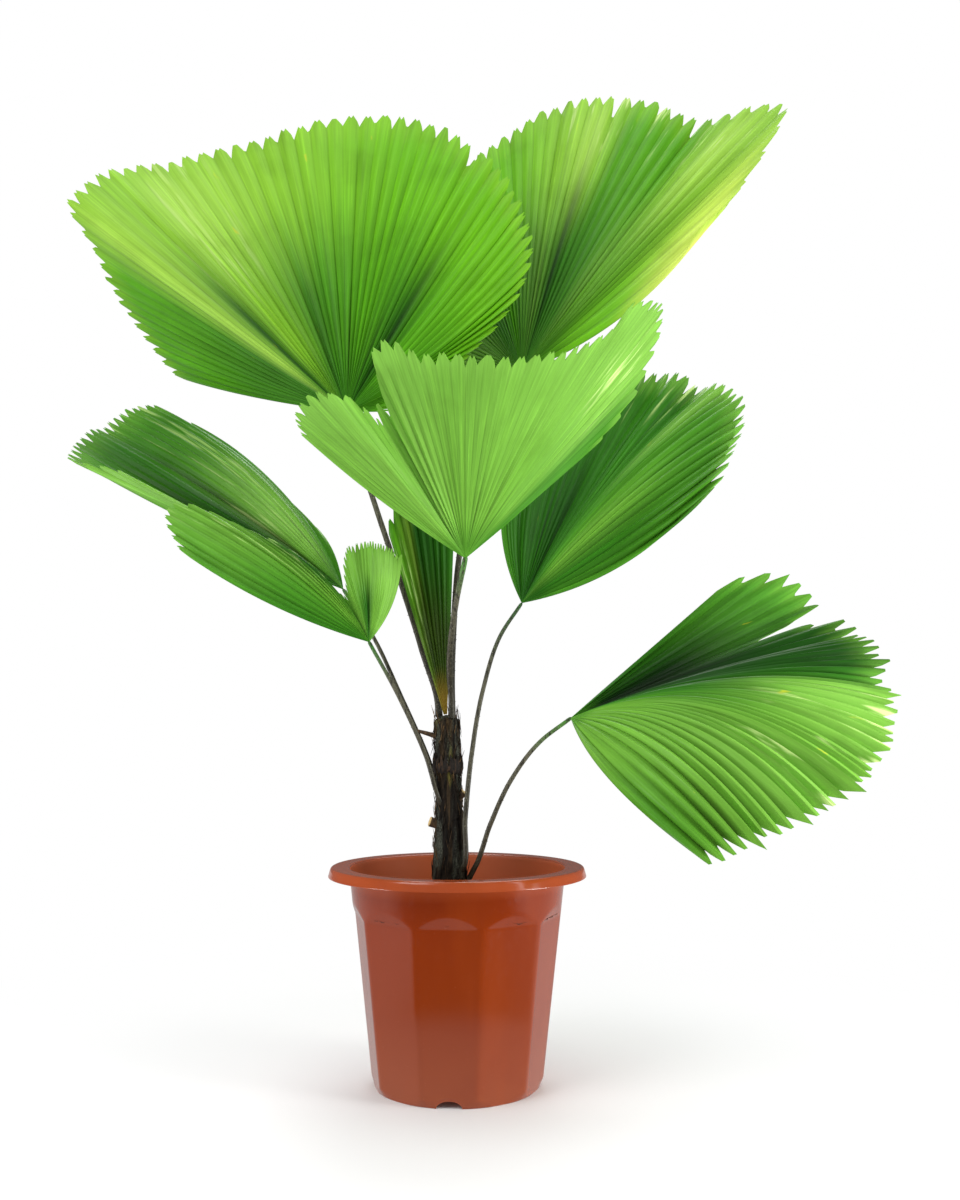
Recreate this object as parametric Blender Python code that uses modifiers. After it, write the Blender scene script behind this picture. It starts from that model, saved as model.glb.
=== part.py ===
"""A fan palm in a ten-sided plastic pot.

Frame: the origin is the middle of the pot's underside, on the floor. +Z is up, the front is -Y.
Lengths are in metres and angles in degrees.
"""
import math

import bmesh
import bpy
import numpy as np

# ---- pot ----
POT_HEIGHT = 0.245
POT_WALL = 0.002
POT_SIDES = 10
ROUND_STEPS = 60             # corners of the pot's round forms
POT_TURN = 14.0              # angle of one panel edge, measured from the front towards +X
RIM_RADIUS = 0.150           # lower edge of the skirt
RIM_DRAFT = 0.003            # how much narrower the skirt is at its top
RIM_SKIRT = 0.011
RIM_EDGE = 0.0012
RIM_OVERHANG = 0.0238
BODY_TAPER = 0.0272
FOOT_STEP = 0.0044
BODY_TOP_RADIUS = RIM_RADIUS - RIM_OVERHANG        # outside of the wall, under the rim
BODY_LOW_RADIUS = BODY_TOP_RADIUS - BODY_TAPER     # outside of the wall, above the foot
FOOT_RADIUS = BODY_LOW_RADIUS - FOOT_STEP
FOOT_HEIGHT = 0.009
MOUTH_ROUNDING = 0.004
BAND_HEIGHT = 0.0385         # from the top of the rim down to the panels' arches
SHELF_HEIGHT = 0.0165        # from an arch's top down to the panel's upper corners
PANEL_TOP = POT_HEIGHT - BAND_HEIGHT - SHELF_HEIGHT
EDGE_RELIEF = 0.0005         # the turned body trims a panel edge by this much
FLOOR_RAISE = 0.0085
RECESS_WIDTH = 0.0378        # of the ring under the floor; inside it the floor stands on the ground
WELL_RADIUS = FOOT_RADIUS - RECESS_WIDTH
NOTCH_HALF_WIDTH = 0.014
NOTCH_STEP = 0.0005          # from a notch's top up to the raised floor's underside
NOTCH_HEIGHT = FLOOR_RAISE - NOTCH_STEP
NOTCH_ANGLES = (-4.0, 176.0)
DRAIN_RADIUS = 0.006
DRAIN_RING = (WELL_RADIUS + FOOT_RADIUS) / 2
DRAIN_COUNT = 4

# ---- plant, with its heights measured from the top of the potting mix ----
GAP = 0.0003                 # clearance between pieces that touch
SOIL_DEPTH = 0.045           # from the rim down to the potting mix
SOIL_TOP = POT_HEIGHT - SOIL_DEPTH
BLADE_THICKNESS = 0.0012
PLEAT_DEPTH = 0.004
PLEAT_SLOPE = 0.30           # a pleat's height, as a share of its half width, up to PLEAT_DEPTH
TOOTH_DEPTH = 0.014
BLADE_ROWS = 5
TUBE_STEPS = 3               # tube sections between two points of a route
STALK_SINK = 0.006           # a stalk's end lies this deep in the trunk before it is trimmed
TRUNK_TOP = 0.220

TRUNK_ROUTE = (              # x, y, z, radius
    (-0.0080, 0.0, -0.095, 0.0150),
    (-0.0090, 0.0, 0.000, 0.0215),
    (-0.0090, 0.0, 0.045, 0.0200),
    (-0.0100, 0.0, 0.100, 0.0165),
    (-0.0115, 0.0, 0.160, 0.0155),
    (-0.0130, 0.0, TRUNK_TOP, 0.0150),
)
SHEATH_LOW = 0.148
SHEATH_HIGH = 0.182
SHEATH_THICKNESS = 0.0025

# ---- leaves ----
# hub: where the ribs meet. facing: the side that the ribs bow towards.
# A rib is (turn, lean, length, rise, swing): turn goes from +Z towards +X and lean from
# upright towards the front. rise bows the rib to the facing side and swing bows it
# clockwise, each as a share of its length.
# stalk: points (x, y, z) between the stalk's foot and the hub.
LEAVES = {
    "high_left": dict(
        hub=(-0.141, 0.050, 0.600), facing=(0, -1, 0.3), pleats=24, colour=(0.22, 0.48, 0.03),
        ribs=((-69, -34, 0.33, 0, -0.02), (-62, -20, 0.38, 0, -0.02), (-57, -8, 0.40, 0, 0),
              (-53, 2, 0.44, 0, 0), (-45, -4, 0.46, 0, 0), (-35, -12, 0.465, 0.02, 0),
              (-19, -16, 0.465, 0.03, 0), (-4, -17, 0.48, 0.03, 0), (9, -15, 0.47, 0.03, 0),
              (23, -10, 0.42, 0.03, 0), (38, -4, 0.355, 0.03, 0.03), (52, 2, 0.285, 0.04, 0.06),
              (63, 6, 0.195, 0.04, 0.04), (76, 9, 0.09, 0.02, 0), (92, 10, 0.052, 0, 0)),
        stalk=((-0.0225, 0.005, TRUNK_TOP), (-0.044, 0.012, 0.300), (-0.080, 0.022, 0.410),
               (-0.117, 0.036, 0.520)),
        thickness=(0.0042, 0.0030)),
    "high_right": dict(
        hub=(0.082, 0.120, 0.673), facing=(0, -1, 0.3), pleats=20, colour=(0.13, 0.40, 0.02),
        ribs=((-70, -45, 0.22, 0, -0.05), (-40, -38, 0.34, 0, 0), (-16, -30, 0.42, 0.02, 0),
              (-3, -26, 0.475, 0.02, 0), (9, -21, 0.515, 0.03, 0), (20, -18, 0.52, 0.03, 0),
              (33, -14, 0.51, 0.03, 0), (44, -6, 0.54, 0, 0), (48, -2, 0.425, 0, 0.01),
              (51, 2, 0.31, 0.03, 0.10)),
        stalk=((-0.0070, 0.0085, TRUNK_TOP), (-0.006, 0.024, 0.320), (0.004, 0.048, 0.440),
               (0.034, 0.082, 0.560)),
        thickness=(0.0042, 0.0030)),
    "front": dict(
        hub=(0.010, -0.100, 0.393), facing=(0, 0.7, 0.7), pleats=18, colour=(0.16, 0.34, 0.07),
        ribs=((-57, 24, 0.22, -0.03, 0), (-53, 34, 0.25, 0, 0), (-44, 46, 0.265, 0, 0),
              (-34, 37, 0.195, 0, 0), (-27, 42, 0.265, 0, 0), (-12, 50, 0.265, 0.03, 0),
              (2, 54, 0.27, 0.03, 0), (18, 52, 0.275, 0.03, 0), (32, 42, 0.28, 0.02, 0),
              (36, 22, 0.325, 0, 0), (39, 6, 0.345, 0, 0), (44, -6, 0.295, 0, 0),
              (47, -16, 0.20, 0, 0)),
        stalk=((-0.0070, -0.0085, TRUNK_TOP), (-0.009, -0.030, 0.280), (-0.002, -0.068, 0.340)),
        thickness=(0.0042, 0.0030)),
    "right": dict(
        hub=(0.077, 0.020, 0.355), facing=(-0.4, -0.6, 0.7), pleats=16, colour=(0.05, 0.23, 0.02),
        ribs=((-4, -10, 0.20, 0, -0.10), (8, -18, 0.29, 0, -0.04), (18, -21, 0.36, 0, 0),
              (28, -20, 0.395, 0, 0), (37, -17, 0.40, 0.03, 0), (46, -8, 0.39, 0.06, 0),
              (53, 0, 0.33, 0.04, 0.03), (60, 8, 0.255, 0, 0.15)),
        stalk=((0.0040, -0.0120, 0.040), (0.009, -0.014, 0.100), (0.016, -0.010, 0.170),
               (0.030, 0.000, 0.250), (0.051, 0.012, 0.315)),
        thickness=(0.0034, 0.0022)),
    "low_right": dict(
        hub=(0.130, -0.050, 0.216), facing=(0, -0.5, 0.9), pleats=16, colour=(0.08, 0.27, 0.02),
        ribs=((51, -28, 0.32, 0, 0), (57, -29, 0.395, 0, 0), (66, -27, 0.415, 0, 0),
              (73, -17, 0.40, 0.02, 0), (80, -5, 0.375, 0.06, 0), (87, 5, 0.355, 0.10, 0),
              (95, 14, 0.34, 0.14, 0), (104, 24, 0.32, 0.17, 0), (114, 33, 0.29, 0.18, 0),
              (127, 40, 0.27, 0.16, 0.04), (141, 42, 0.245, 0.06, 0.12)),
        stalk=((0.0060, -0.0020, 0.022), (0.020, -0.008, 0.043), (0.038, -0.020, 0.093),
               (0.062, -0.032, 0.145), (0.094, -0.043, 0.188)),
        thickness=(0.0034, 0.0022)),
    "left_upper": dict(
        hub=(-0.141, 0.030, 0.373), facing=(0.5, 0, 0.8), pleats=16, colour=(0.07, 0.24, 0.03),
        ribs=((-62, -2, 0.30, 0, 0), (-64, -7, 0.39, 0, 0), (-63, -12, 0.42, -0.02, 0),
              (-59, -16, 0.44, 0, 0), (-53, -22, 0.455, 0.04, 0), (-48, -26, 0.47, 0.06, 0),
              (-44, -32, 0.45, 0.06, 0.01), (-39, -42, 0.32, 0.05, 0),
              (-28, -50, 0.15, 0.05, 0)),
        stalk=((-0.0150, 0.0060, 0.120), (-0.040, 0.014, 0.180), (-0.070, 0.024, 0.245),
               (-0.101, 0.029, 0.310)),
        thickness=(0.0030, 0.0022)),
    "left_lower": dict(
        hub=(-0.104, -0.020, 0.305), facing=(0.3, -0.6, 0.6), pleats=16, colour=(0.05, 0.20, 0.02),
        ribs=((-65, 8, 0.235, 0, -0.06), (-60, 5, 0.27, 0.02, -0.03), (-55, 2, 0.28, 0.05, 0),
              (-47, 0, 0.20, 0.08, 0), (-38, 1, 0.10, 0.08, 0), (-28, 2, 0.06, 0, 0),
              (-15, 8, 0.105, 0, 0), (2, 16, 0.115, 0, 0.02), (24, 30, 0.115, 0, 0.08)),
        stalk=((-0.0150, -0.0060, 0.110), (-0.038, -0.014, 0.175), (-0.068, -0.020, 0.240)),
        thickness=(0.0030, 0.0022)),
}
SPEAR_START = 0.012          # the spear's ribs would meet this far under its seat on the trunk
SPEAR_SEAT = TRUNK_TOP + GAP + BLADE_THICKNESS / 2
SPEAR_PLEAT_DEPTH = 0.006
SPEAR = dict(
    hub=(-0.0130, 0.000, SPEAR_SEAT - SPEAR_START), facing=(0, -1, 0),
    ribs=((-17, 3, 0.245, 0, 0), (-12, 2, 0.27, 0, 0), (-6, 2, 0.28, 0, 0), (2, 3, 0.25, 0, 0)),
    pleats=7, colour=(0.10, 0.24, 0.02))

# name: where it ends (x, y, z), where it starts on the trunk's middle line, its radii
STUBS = {
    "old_stub_left": ((-0.0350, -0.0060, 0.097), 0.088, (0.0070, 0.0055)),
    "old_stub_right": ((0.0100, -0.0060, 0.132), 0.112, (0.0060, 0.0040)),
    "old_spine": ((-0.0560, -0.0080, 0.204), 0.191, (0.0040, 0.0012)),
}


# ---- scene helpers ----

def clear_scene():
    for item in list(bpy.data.objects):
        bpy.data.objects.remove(item)


def new_collection(name):
    collection = bpy.data.collections.new(name)
    bpy.context.scene.collection.children.link(collection)
    return collection


def material(name, colour, roughness, metallic=0.0):
    finish = bpy.data.materials.new(name)
    finish.use_nodes = True
    shader = finish.node_tree.nodes["Principled BSDF"]
    shader.inputs["Base Color"].default_value = (*colour, 1.0)
    shader.inputs["Roughness"].default_value = roughness
    shader.inputs["Metallic"].default_value = metallic
    return finish


def add_object(name, data, collection):
    item = bpy.data.objects.new(name, data)
    collection.objects.link(item)
    return item


def make_cutter(item):
    item.hide_render = True
    item.display_type = "WIRE"


def boolean(item, operation, other):
    cut = item.modifiers.new(f"{operation.lower()} {other.name}", "BOOLEAN")
    cut.operation = operation
    cut.object = other
    cut.solver = "EXACT"


def as_mesh(item):
    """Replace an object by the mesh that its modifiers or its curve give."""
    evaluated = item.evaluated_get(bpy.context.evaluated_depsgraph_get())
    mesh = bpy.data.meshes.new_from_object(evaluated)
    form = bmesh.new()
    form.from_mesh(mesh)
    bmesh.ops.remove_doubles(form, verts=form.verts, dist=0.00001)
    form.to_mesh(mesh)
    form.free()
    made = add_object(f"{item.name}_mesh", mesh, item.users_collection[0])
    made.matrix_world = item.matrix_world
    name = item.name
    bpy.data.objects.remove(item)
    made.name = name
    return made


# ---- smooth curves ----

def through(values, places, at):
    """Values on the smooth curve that passes through `values` at the rising `places`."""
    index = np.clip(np.searchsorted(places, at, side="right") - 1, 0, len(places) - 2)
    slopes = np.gradient(values, places, axis=0)
    step = (places[index + 1] - places[index])[:, None]
    t = (at - places[index])[:, None] / step
    start, end = values[index], values[index + 1]
    leave, arrive = slopes[index] * step, slopes[index + 1] * step
    return ((2 * t**3 - 3 * t**2 + 1) * start + (t**3 - 2 * t**2 + t) * leave
            + (3 * t**2 - 2 * t**3) * end + (t**3 - t**2) * arrive)


def smooth_route(points):
    """Rows (x, y, z, radius) along the smooth curve through such rows."""
    points = np.array(points, float)
    steps = np.linalg.norm(np.diff(points[:, :3], axis=0), axis=1)
    places = np.concatenate([[0.0], np.cumsum(steps)])
    at = np.linspace(0.0, places[-1], TUBE_STEPS * (len(points) - 1) + 1)
    return through(points, places, at)


def tube(name, route, collection, resolution=2, extra=0.0):
    """A round rod along one of the plant's routes, `extra` thicker all over."""
    curve = bpy.data.curves.new(name, "CURVE")
    curve.dimensions = "3D"
    curve.bevel_depth = 1.0
    curve.bevel_resolution = resolution
    curve.use_fill_caps = True
    spline = curve.splines.new("POLY")
    spline.points.add(len(route) - 1)
    for point, (x, y, z, radius) in zip(spline.points, route):
        point.co = (x, y, SOIL_TOP + z, 1.0)
        point.radius = radius + extra
    return as_mesh(add_object(name, curve, collection))


# ---- pot ----

def body_radius(z):
    """Outside radius of the plain tapered wall."""
    share = (z - FOOT_HEIGHT) / (POT_HEIGHT - FOOT_HEIGHT)
    return BODY_LOW_RADIUS + share * (BODY_TOP_RADIUS - BODY_LOW_RADIUS)


def turned(name, profile, collection, steps, first=POT_TURN):
    """A solid of revolution. The profile (radius, z) runs down its outer side.

    It starts and ends on the axis, or else it is closed and makes a ring. `first` is the angle
    of its first corner.
    """
    mesh = bpy.data.meshes.new(name)
    verts = [(radius, 0.0, z) for radius, z in profile]
    edges = [(i, i + 1) for i in range(len(verts) - 1)]
    if profile[0][0] > 0.0:
        edges.append((len(verts) - 1, 0))
    mesh.from_pydata(verts, edges, [])
    item = add_object(name, mesh, collection)
    item.rotation_euler.z = math.radians(first - 90.0)
    screw = item.modifiers.new("turn", "SCREW")
    screw.axis = "Z"
    screw.steps = steps
    screw.render_steps = steps
    screw.use_merge_vertices = True
    screw.merge_threshold = 0.00001
    bpy.context.view_layer.update()
    return as_mesh(item)


def panel_profile(inset, low):
    """Corner radii of the ten-sided form, set in from the outside by `inset`.

    Above the panels' arches the form is wider than the rim, so it leaves the rim round. The
    foot's chamfer goes on down to `low`.
    """
    corner = math.cos(math.pi / POT_SIDES)
    arch_top = PANEL_TOP + SHELF_HEIGHT
    slope = (body_radius(arch_top) / corner - body_radius(PANEL_TOP)) / SHELF_HEIGHT
    shelf_end = (arch_top + POT_HEIGHT - RIM_SKIRT) / 2
    edge = EDGE_RELIEF - inset / corner
    high = POT_HEIGHT + RIM_SKIRT
    clear = 2 * RIM_RADIUS
    low_radius = FOOT_RADIUS + low * FOOT_STEP / FOOT_HEIGHT
    return ((0.0, high), (clear, high), (clear, shelf_end),
            (body_radius(PANEL_TOP) + slope * (shelf_end - PANEL_TOP) + edge, shelf_end),
            (body_radius(PANEL_TOP) + edge, PANEL_TOP), (BODY_LOW_RADIUS + edge, FOOT_HEIGHT),
            (low_radius + edge, low), (0.0, low))


def pot_space(name, gap, top, collection):
    """The inside of the pot up to `top`, drawn in by `gap` on every side."""
    inset = POT_WALL + gap
    floor_top = FLOOR_RAISE + POT_WALL + gap
    well_floor = POT_WALL + gap
    well_radius = WELL_RADIUS - gap
    profile = [(0.0, top)]
    if top > POT_HEIGHT:
        inner = body_radius(POT_HEIGHT) - inset
        profile += [(inner + MOUTH_ROUNDING, top), (inner + MOUTH_ROUNDING, POT_HEIGHT)]
        for angle in (30, 60, 90):
            across = MOUTH_ROUNDING * (1 - math.sin(math.radians(angle)))
            down = MOUTH_ROUNDING * (1 - math.cos(math.radians(angle)))
            profile.append((inner + across, POT_HEIGHT - down))
    else:
        profile.append((body_radius(top) - inset, top))
    profile += [(body_radius(floor_top) - inset, floor_top), (well_radius, floor_top),
                (well_radius, well_floor), (0.0, well_floor)]
    space = turned(name, profile, collection, ROUND_STEPS)
    panels = turned(f"{name}_panels", panel_profile(inset, 0.0), collection, POT_SIDES)
    boolean(space, "INTERSECT", panels)
    space = as_mesh(space)
    bpy.data.objects.remove(panels)
    return space


def under_space(cutters):
    """The recess under the raised floor, a ring round the middle that stands on the ground.

    Its corners lie half a step from the pot's, so that no edges of the two fall together.
    """
    half_step = 180.0 / ROUND_STEPS
    middle = WELL_RADIUS + POT_WALL
    ring = turned("under_space", (
        (middle, FLOOR_RAISE), (body_radius(FLOOR_RAISE) - POT_WALL, FLOOR_RAISE),
        (FOOT_RADIUS - POT_WALL, 0.0), (FOOT_RADIUS - POT_WALL, -POT_WALL), (middle, -POT_WALL)),
        cutters, ROUND_STEPS, POT_TURN + half_step)
    panels = turned("under_panels", panel_profile(POT_WALL, -2 * POT_WALL), cutters, POT_SIDES)
    boolean(ring, "INTERSECT", panels)
    ring = as_mesh(ring)
    bpy.data.objects.remove(panels)
    return ring


def build_pot(parts, cutters):
    top_radius = RIM_RADIUS - RIM_DRAFT
    skirt_low = POT_HEIGHT - RIM_SKIRT
    flange = POT_HEIGHT - POT_WALL
    pot = turned("pot", (
        (0.0, POT_HEIGHT), (top_radius - RIM_EDGE, POT_HEIGHT), (top_radius, POT_HEIGHT - RIM_EDGE),
        (RIM_RADIUS, skirt_low), (RIM_RADIUS - POT_WALL, skirt_low), (top_radius - POT_WALL, flange),
        (body_radius(flange), flange), (body_radius(PANEL_TOP), PANEL_TOP),
        (BODY_LOW_RADIUS, FOOT_HEIGHT), (FOOT_RADIUS, 0.0), (0.0, 0.0)), parts, ROUND_STEPS)
    panels = turned("pot_panels", panel_profile(0.0, -POT_WALL), cutters, POT_SIDES)
    make_cutter(panels)
    boolean(pot, "INTERSECT", panels)
    hollows = [pot_space("pot_space", 0.0, POT_HEIGHT + RIM_SKIRT, cutters), under_space(cutters)]
    for number, angle in enumerate(NOTCH_ANGLES):
        hollows.append(notch_cutter(f"notch_{number}", angle, cutters))
    for number in range(DRAIN_COUNT):
        angle = NOTCH_ANGLES[0] + number * 360 / DRAIN_COUNT
        hollows.append(drain_cutter(f"drain_{number}", angle, cutters))
    for hollow in hollows:
        make_cutter(hollow)
        boolean(pot, "DIFFERENCE", hollow)
    pot.data.materials.append(material("terracotta_plastic", (0.34, 0.07, 0.02), 0.3))


def notch_cutter(name, angle, cutters):
    """An arch through the foot, along the radius at `angle` from the front."""
    bpy.ops.mesh.primitive_cylinder_add(vertices=32, radius=1.0, depth=1.0)
    notch = bpy.context.object
    inner = (WELL_RADIUS + FOOT_RADIUS) / 2
    length = BODY_LOW_RADIUS + POT_WALL - inner
    reach = inner + length / 2
    turn = math.radians(angle - 90.0)
    notch.scale = (NOTCH_HEIGHT, NOTCH_HALF_WIDTH, length)
    notch.rotation_euler = (0.0, math.pi / 2, turn)
    notch.location = (reach * math.cos(turn), reach * math.sin(turn), 0.0)
    return move_to_cutters(notch, name, cutters)


def drain_cutter(name, angle, cutters):
    bpy.ops.mesh.primitive_cylinder_add(vertices=20, radius=DRAIN_RADIUS, depth=4 * POT_WALL)
    drain = bpy.context.object
    turn = math.radians(angle - 90.0)
    middle = FLOOR_RAISE + POT_WALL / 2
    drain.location = (DRAIN_RING * math.cos(turn), DRAIN_RING * math.sin(turn), middle)
    return move_to_cutters(drain, name, cutters)


def move_to_cutters(item, name, cutters):
    item.name = name
    for collection in list(item.users_collection):
        collection.objects.unlink(item)
    cutters.objects.link(item)
    return item


# ---- trunk and potting mix ----

def trunk_point(height):
    """A row (x, y, z, radius) of the trunk's route."""
    route = smooth_route(TRUNK_ROUTE)
    return [float(np.interp(height, route[:, 2], route[:, column])) for column in range(4)]


def build_trunk(parts, cutters):
    """The trunk. Returns the room that other pieces leave for it."""
    route = smooth_route(TRUNK_ROUTE)
    trunk = tube("trunk", route, parts, resolution=4)
    trunk.data.materials.append(material("fibrous_bark", (0.016, 0.014, 0.009), 0.9))
    room = route.copy()
    room[0, 2] -= GAP
    room[-1, 2] += GAP
    cutter = tube("trunk_room", room, cutters, resolution=4, extra=GAP)
    make_cutter(cutter)
    return cutter


def build_soil(parts, trunk_room):
    soil = pot_space("potting_mix", GAP, SOIL_TOP, parts)
    boolean(soil, "DIFFERENCE", trunk_room)
    soil.data.materials.append(material("potting_mix", (0.035, 0.022, 0.013), 0.95))


def build_sheath(parts, trunk_room):
    heights = np.linspace(SHEATH_LOW, SHEATH_HIGH, 5)
    route = np.array([trunk_point(z) for z in heights])
    sheath = tube("sheath_fibre", route, parts, resolution=4, extra=GAP + SHEATH_THICKNESS)
    boolean(sheath, "DIFFERENCE", trunk_room)
    sheath.data.materials.append(material("brown_fibre", (0.10, 0.045, 0.015), 0.9))


def build_stubs(parts, trunk_room):
    husk = material("old_stalk", (0.05, 0.035, 0.02), 0.85)
    for name, (end, foot, (thick, thin)) in STUBS.items():
        start = trunk_point(foot)
        stub = tube(name, smooth_route(((*start[:3], thick), (*end, thin))), parts)
        boolean(stub, "DIFFERENCE", trunk_room)
        stub.data.materials.append(husk)


# ---- leaves ----

def rib_direction(turn, lean):
    turn, lean = math.radians(turn), math.radians(lean)
    return np.array([math.sin(turn) * math.cos(lean), -math.sin(lean),
                     math.cos(turn) * math.cos(lean)])


class Fan:
    """The smooth sheet through a leaf's ribs: s runs across it and v out from its hub."""

    def __init__(self, hub, facing, ribs):
        self.hub = np.array(hub, float) + (0.0, 0.0, SOIL_TOP)
        self.facing = np.array(facing, float) / np.linalg.norm(facing)
        directions = np.array([rib_direction(turn, lean) for turn, lean, *_ in ribs])
        turns = np.arccos(np.clip((directions[1:] * directions[:-1]).sum(axis=1), -1.0, 1.0))
        places = np.concatenate([[0.0], np.cumsum(turns)])
        self.places = places / places[-1]
        self.values = np.hstack([directions, np.array([rib[2:] for rib in ribs], float)])

    def points(self, s, start, share, reach):
        """Points at `share` of the way from `start` metres off the hub to the margin."""
        rib = through(self.values, self.places, s)
        along = rib[:, :3] / np.linalg.norm(rib[:, :3], axis=1)[:, None]
        length, rise, swing = rib[:, 3], rib[:, 4:5], rib[:, 5:6]
        up = self.facing - (along @ self.facing)[:, None] * along
        up /= np.linalg.norm(up, axis=1)[:, None]
        right = np.cross(along, up)
        first = start / length
        v = (first + (1.0 - first) * share)[:, None]
        bow = 4 * v * (1 - v) * (rise * up + swing * right)
        return self.hub + (length * reach)[:, None] * (v * along + bow)


def pleated_sheet(name, leaf, start, depth, collection):
    """An open sheet whose every second line across is a ridge."""
    fan = Fan(leaf["hub"], leaf["facing"], leaf["ribs"])
    columns = 2 * leaf["pleats"] + 1
    s = np.linspace(0.0, 1.0, columns)
    ridge = np.arange(columns) % 2 == 1
    longest = max(rib[2] for rib in leaf["ribs"])
    rows = []
    for share in np.linspace(0.0, 1.0, BLADE_ROWS + 1):
        reach = np.where(ridge, 1.0, 1.0 - share * TOOTH_DEPTH / longest)
        rows.append(fan.points(s, start, share, reach))
    grid = np.array(rows)
    across = np.gradient(grid, axis=1)
    outward = np.gradient(grid, axis=0)
    normal = np.cross(across, outward)
    normal /= np.linalg.norm(normal, axis=2)[:, :, None]
    width = np.linalg.norm(across, axis=2)
    height = np.minimum(PLEAT_SLOPE * width, depth) / 2
    grid += normal * (height * np.where(ridge, 1.0, -1.0))[:, :, None]
    faces = []
    for row in range(BLADE_ROWS):
        for column in range(columns - 1):
            corner = row * columns + column
            faces.append((corner, corner + 1, corner + columns + 1, corner + columns))
    mesh = bpy.data.meshes.new(name)
    mesh.from_pydata([tuple(point) for point in grid.reshape(-1, 3)], [], faces)
    sheet = add_object(name, mesh, collection)
    shell = sheet.modifiers.new("thickness", "SOLIDIFY")
    shell.thickness = BLADE_THICKNESS
    shell.offset = 0.0
    return sheet


def stalk_route(leaf):
    """From inside the trunk to the hub, with a rounded end."""
    thick, thin = leaf["thickness"]
    foot = np.array(leaf["stalk"][0])
    into_trunk = np.array(trunk_point(foot[2] - STALK_SINK)[:3])
    if foot[2] >= TRUNK_TOP:
        into_trunk[:2] = foot[:2]
    points = [into_trunk, *leaf["stalk"], leaf["hub"]]
    radii = np.linspace(thick, thin, len(points))
    route = smooth_route([(*point, radius) for point, radius in zip(points, radii)])
    onward = route[-1, :3] - route[-2, :3]
    onward /= np.linalg.norm(onward)
    ends = [(*(route[-1, :3] + onward * thin * math.sin(angle)), thin * math.cos(angle))
            for angle in (0.6, 1.2)]
    return np.vstack([route, ends])


def build_leaf(name, leaf, parts, trunk_room, skin):
    stalk = tube(f"stalk_{name}", stalk_route(leaf), parts)
    boolean(stalk, "DIFFERENCE", trunk_room)
    stalk.data.materials.append(skin)
    start = leaf["thickness"][1] + GAP + BLADE_THICKNESS / 2
    blade = pleated_sheet(f"leaf_{name}", leaf, start, PLEAT_DEPTH, parts)
    blade.data.materials.append(material(f"green_{name}", leaf["colour"], 0.45))


def build_spear(parts):
    spear = pleated_sheet("spear_leaf", SPEAR, SPEAR_START, SPEAR_PLEAT_DEPTH, parts)
    spear.data.materials.append(material("green_spear", SPEAR["colour"], 0.45))


def main():
    clear_scene()
    parts = new_collection("potted_fan_palm")
    cutters = new_collection("cutters")
    build_pot(parts, cutters)
    trunk_room = build_trunk(parts, cutters)
    build_soil(parts, trunk_room)
    build_sheath(parts, trunk_room)
    build_stubs(parts, trunk_room)
    skin = material("stalk_skin", (0.09, 0.10, 0.06), 0.5)
    for name, leaf in LEAVES.items():
        build_leaf(name, leaf, parts, trunk_room, skin)
    build_spear(parts)


main()
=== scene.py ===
import math

import bpy
import numpy as np
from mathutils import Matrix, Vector, noise


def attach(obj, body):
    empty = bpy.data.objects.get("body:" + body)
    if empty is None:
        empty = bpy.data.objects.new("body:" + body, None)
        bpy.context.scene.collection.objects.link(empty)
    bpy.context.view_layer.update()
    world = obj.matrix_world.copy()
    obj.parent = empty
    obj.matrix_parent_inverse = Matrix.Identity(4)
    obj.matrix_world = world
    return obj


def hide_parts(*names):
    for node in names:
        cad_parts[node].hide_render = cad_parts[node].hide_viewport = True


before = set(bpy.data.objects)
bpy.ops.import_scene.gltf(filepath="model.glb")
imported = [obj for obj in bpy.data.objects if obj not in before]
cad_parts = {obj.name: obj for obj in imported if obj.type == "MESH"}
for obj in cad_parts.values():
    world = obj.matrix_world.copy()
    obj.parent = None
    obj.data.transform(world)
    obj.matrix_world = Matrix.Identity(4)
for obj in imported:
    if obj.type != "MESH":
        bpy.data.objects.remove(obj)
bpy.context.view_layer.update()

# A fan palm in a ten-sided plastic pot. Lengths are in metres and angles in degrees. The front
# is -Y, and the origin is the middle of the pot's underside.


# ---- sizes shared by the pieces ----

POT_HEIGHT = 0.245
POT_WALL = 0.002
POT_SIDES = 10
POT_TURN = 14.0              # angle of one panel edge, measured from the front towards +X
RIM_RADIUS = 0.150
RIM_TOP_RADIUS = 0.147
RIM_SKIRT = 0.011
BODY_TOP_RADIUS = 0.1262
BODY_LOW_RADIUS = 0.0990
FOOT_RADIUS = 0.0946
FOOT_HEIGHT = 0.009
MOUTH_ROUNDING = 0.004
PANEL_TOP = 0.190
SHELF_HEIGHT = 0.0165
EDGE_RELIEF = 0.0005
EDGE_SOFTNESS = 0.0003       # how gently two panels run into each other
FLOOR_RAISE = 0.0085
WELL_RADIUS = 0.0568
SOIL_TOP = 0.200
TRUNK_TOP = 0.220            # this and every height on the plant is above the potting mix
BLADE_THICKNESS = 0.0007

MIX_CLEARANCE = 0.0004       # between the potting mix and the pot
TRUNK_CLEARANCE = 0.0008     # between the potting mix and the trunk

TRUNK_ROUTE = (              # x, y, height, radius
    (-0.0080, 0.0, -0.095, 0.0150),
    (-0.0090, 0.0, 0.000, 0.0215),
    (-0.0090, 0.0, 0.045, 0.0200),
    (-0.0100, 0.0, 0.100, 0.0165),
    (-0.0115, 0.0, 0.160, 0.0155),
    (-0.0130, 0.0, TRUNK_TOP, 0.0150),
)


# ---- helpers for modelling ----

def deselect():
    if bpy.context.object and bpy.context.object.mode != "OBJECT":
        bpy.ops.object.mode_set(mode="OBJECT")
    bpy.ops.object.select_all(action="DESELECT")


def pick(piece):
    """Make a piece the one that the next tool works on."""
    deselect()
    bpy.context.view_layer.objects.active = piece
    piece.select_set(True)


def named(name):
    piece = bpy.context.object
    piece.name = name
    piece.data.name = name
    return piece


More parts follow.
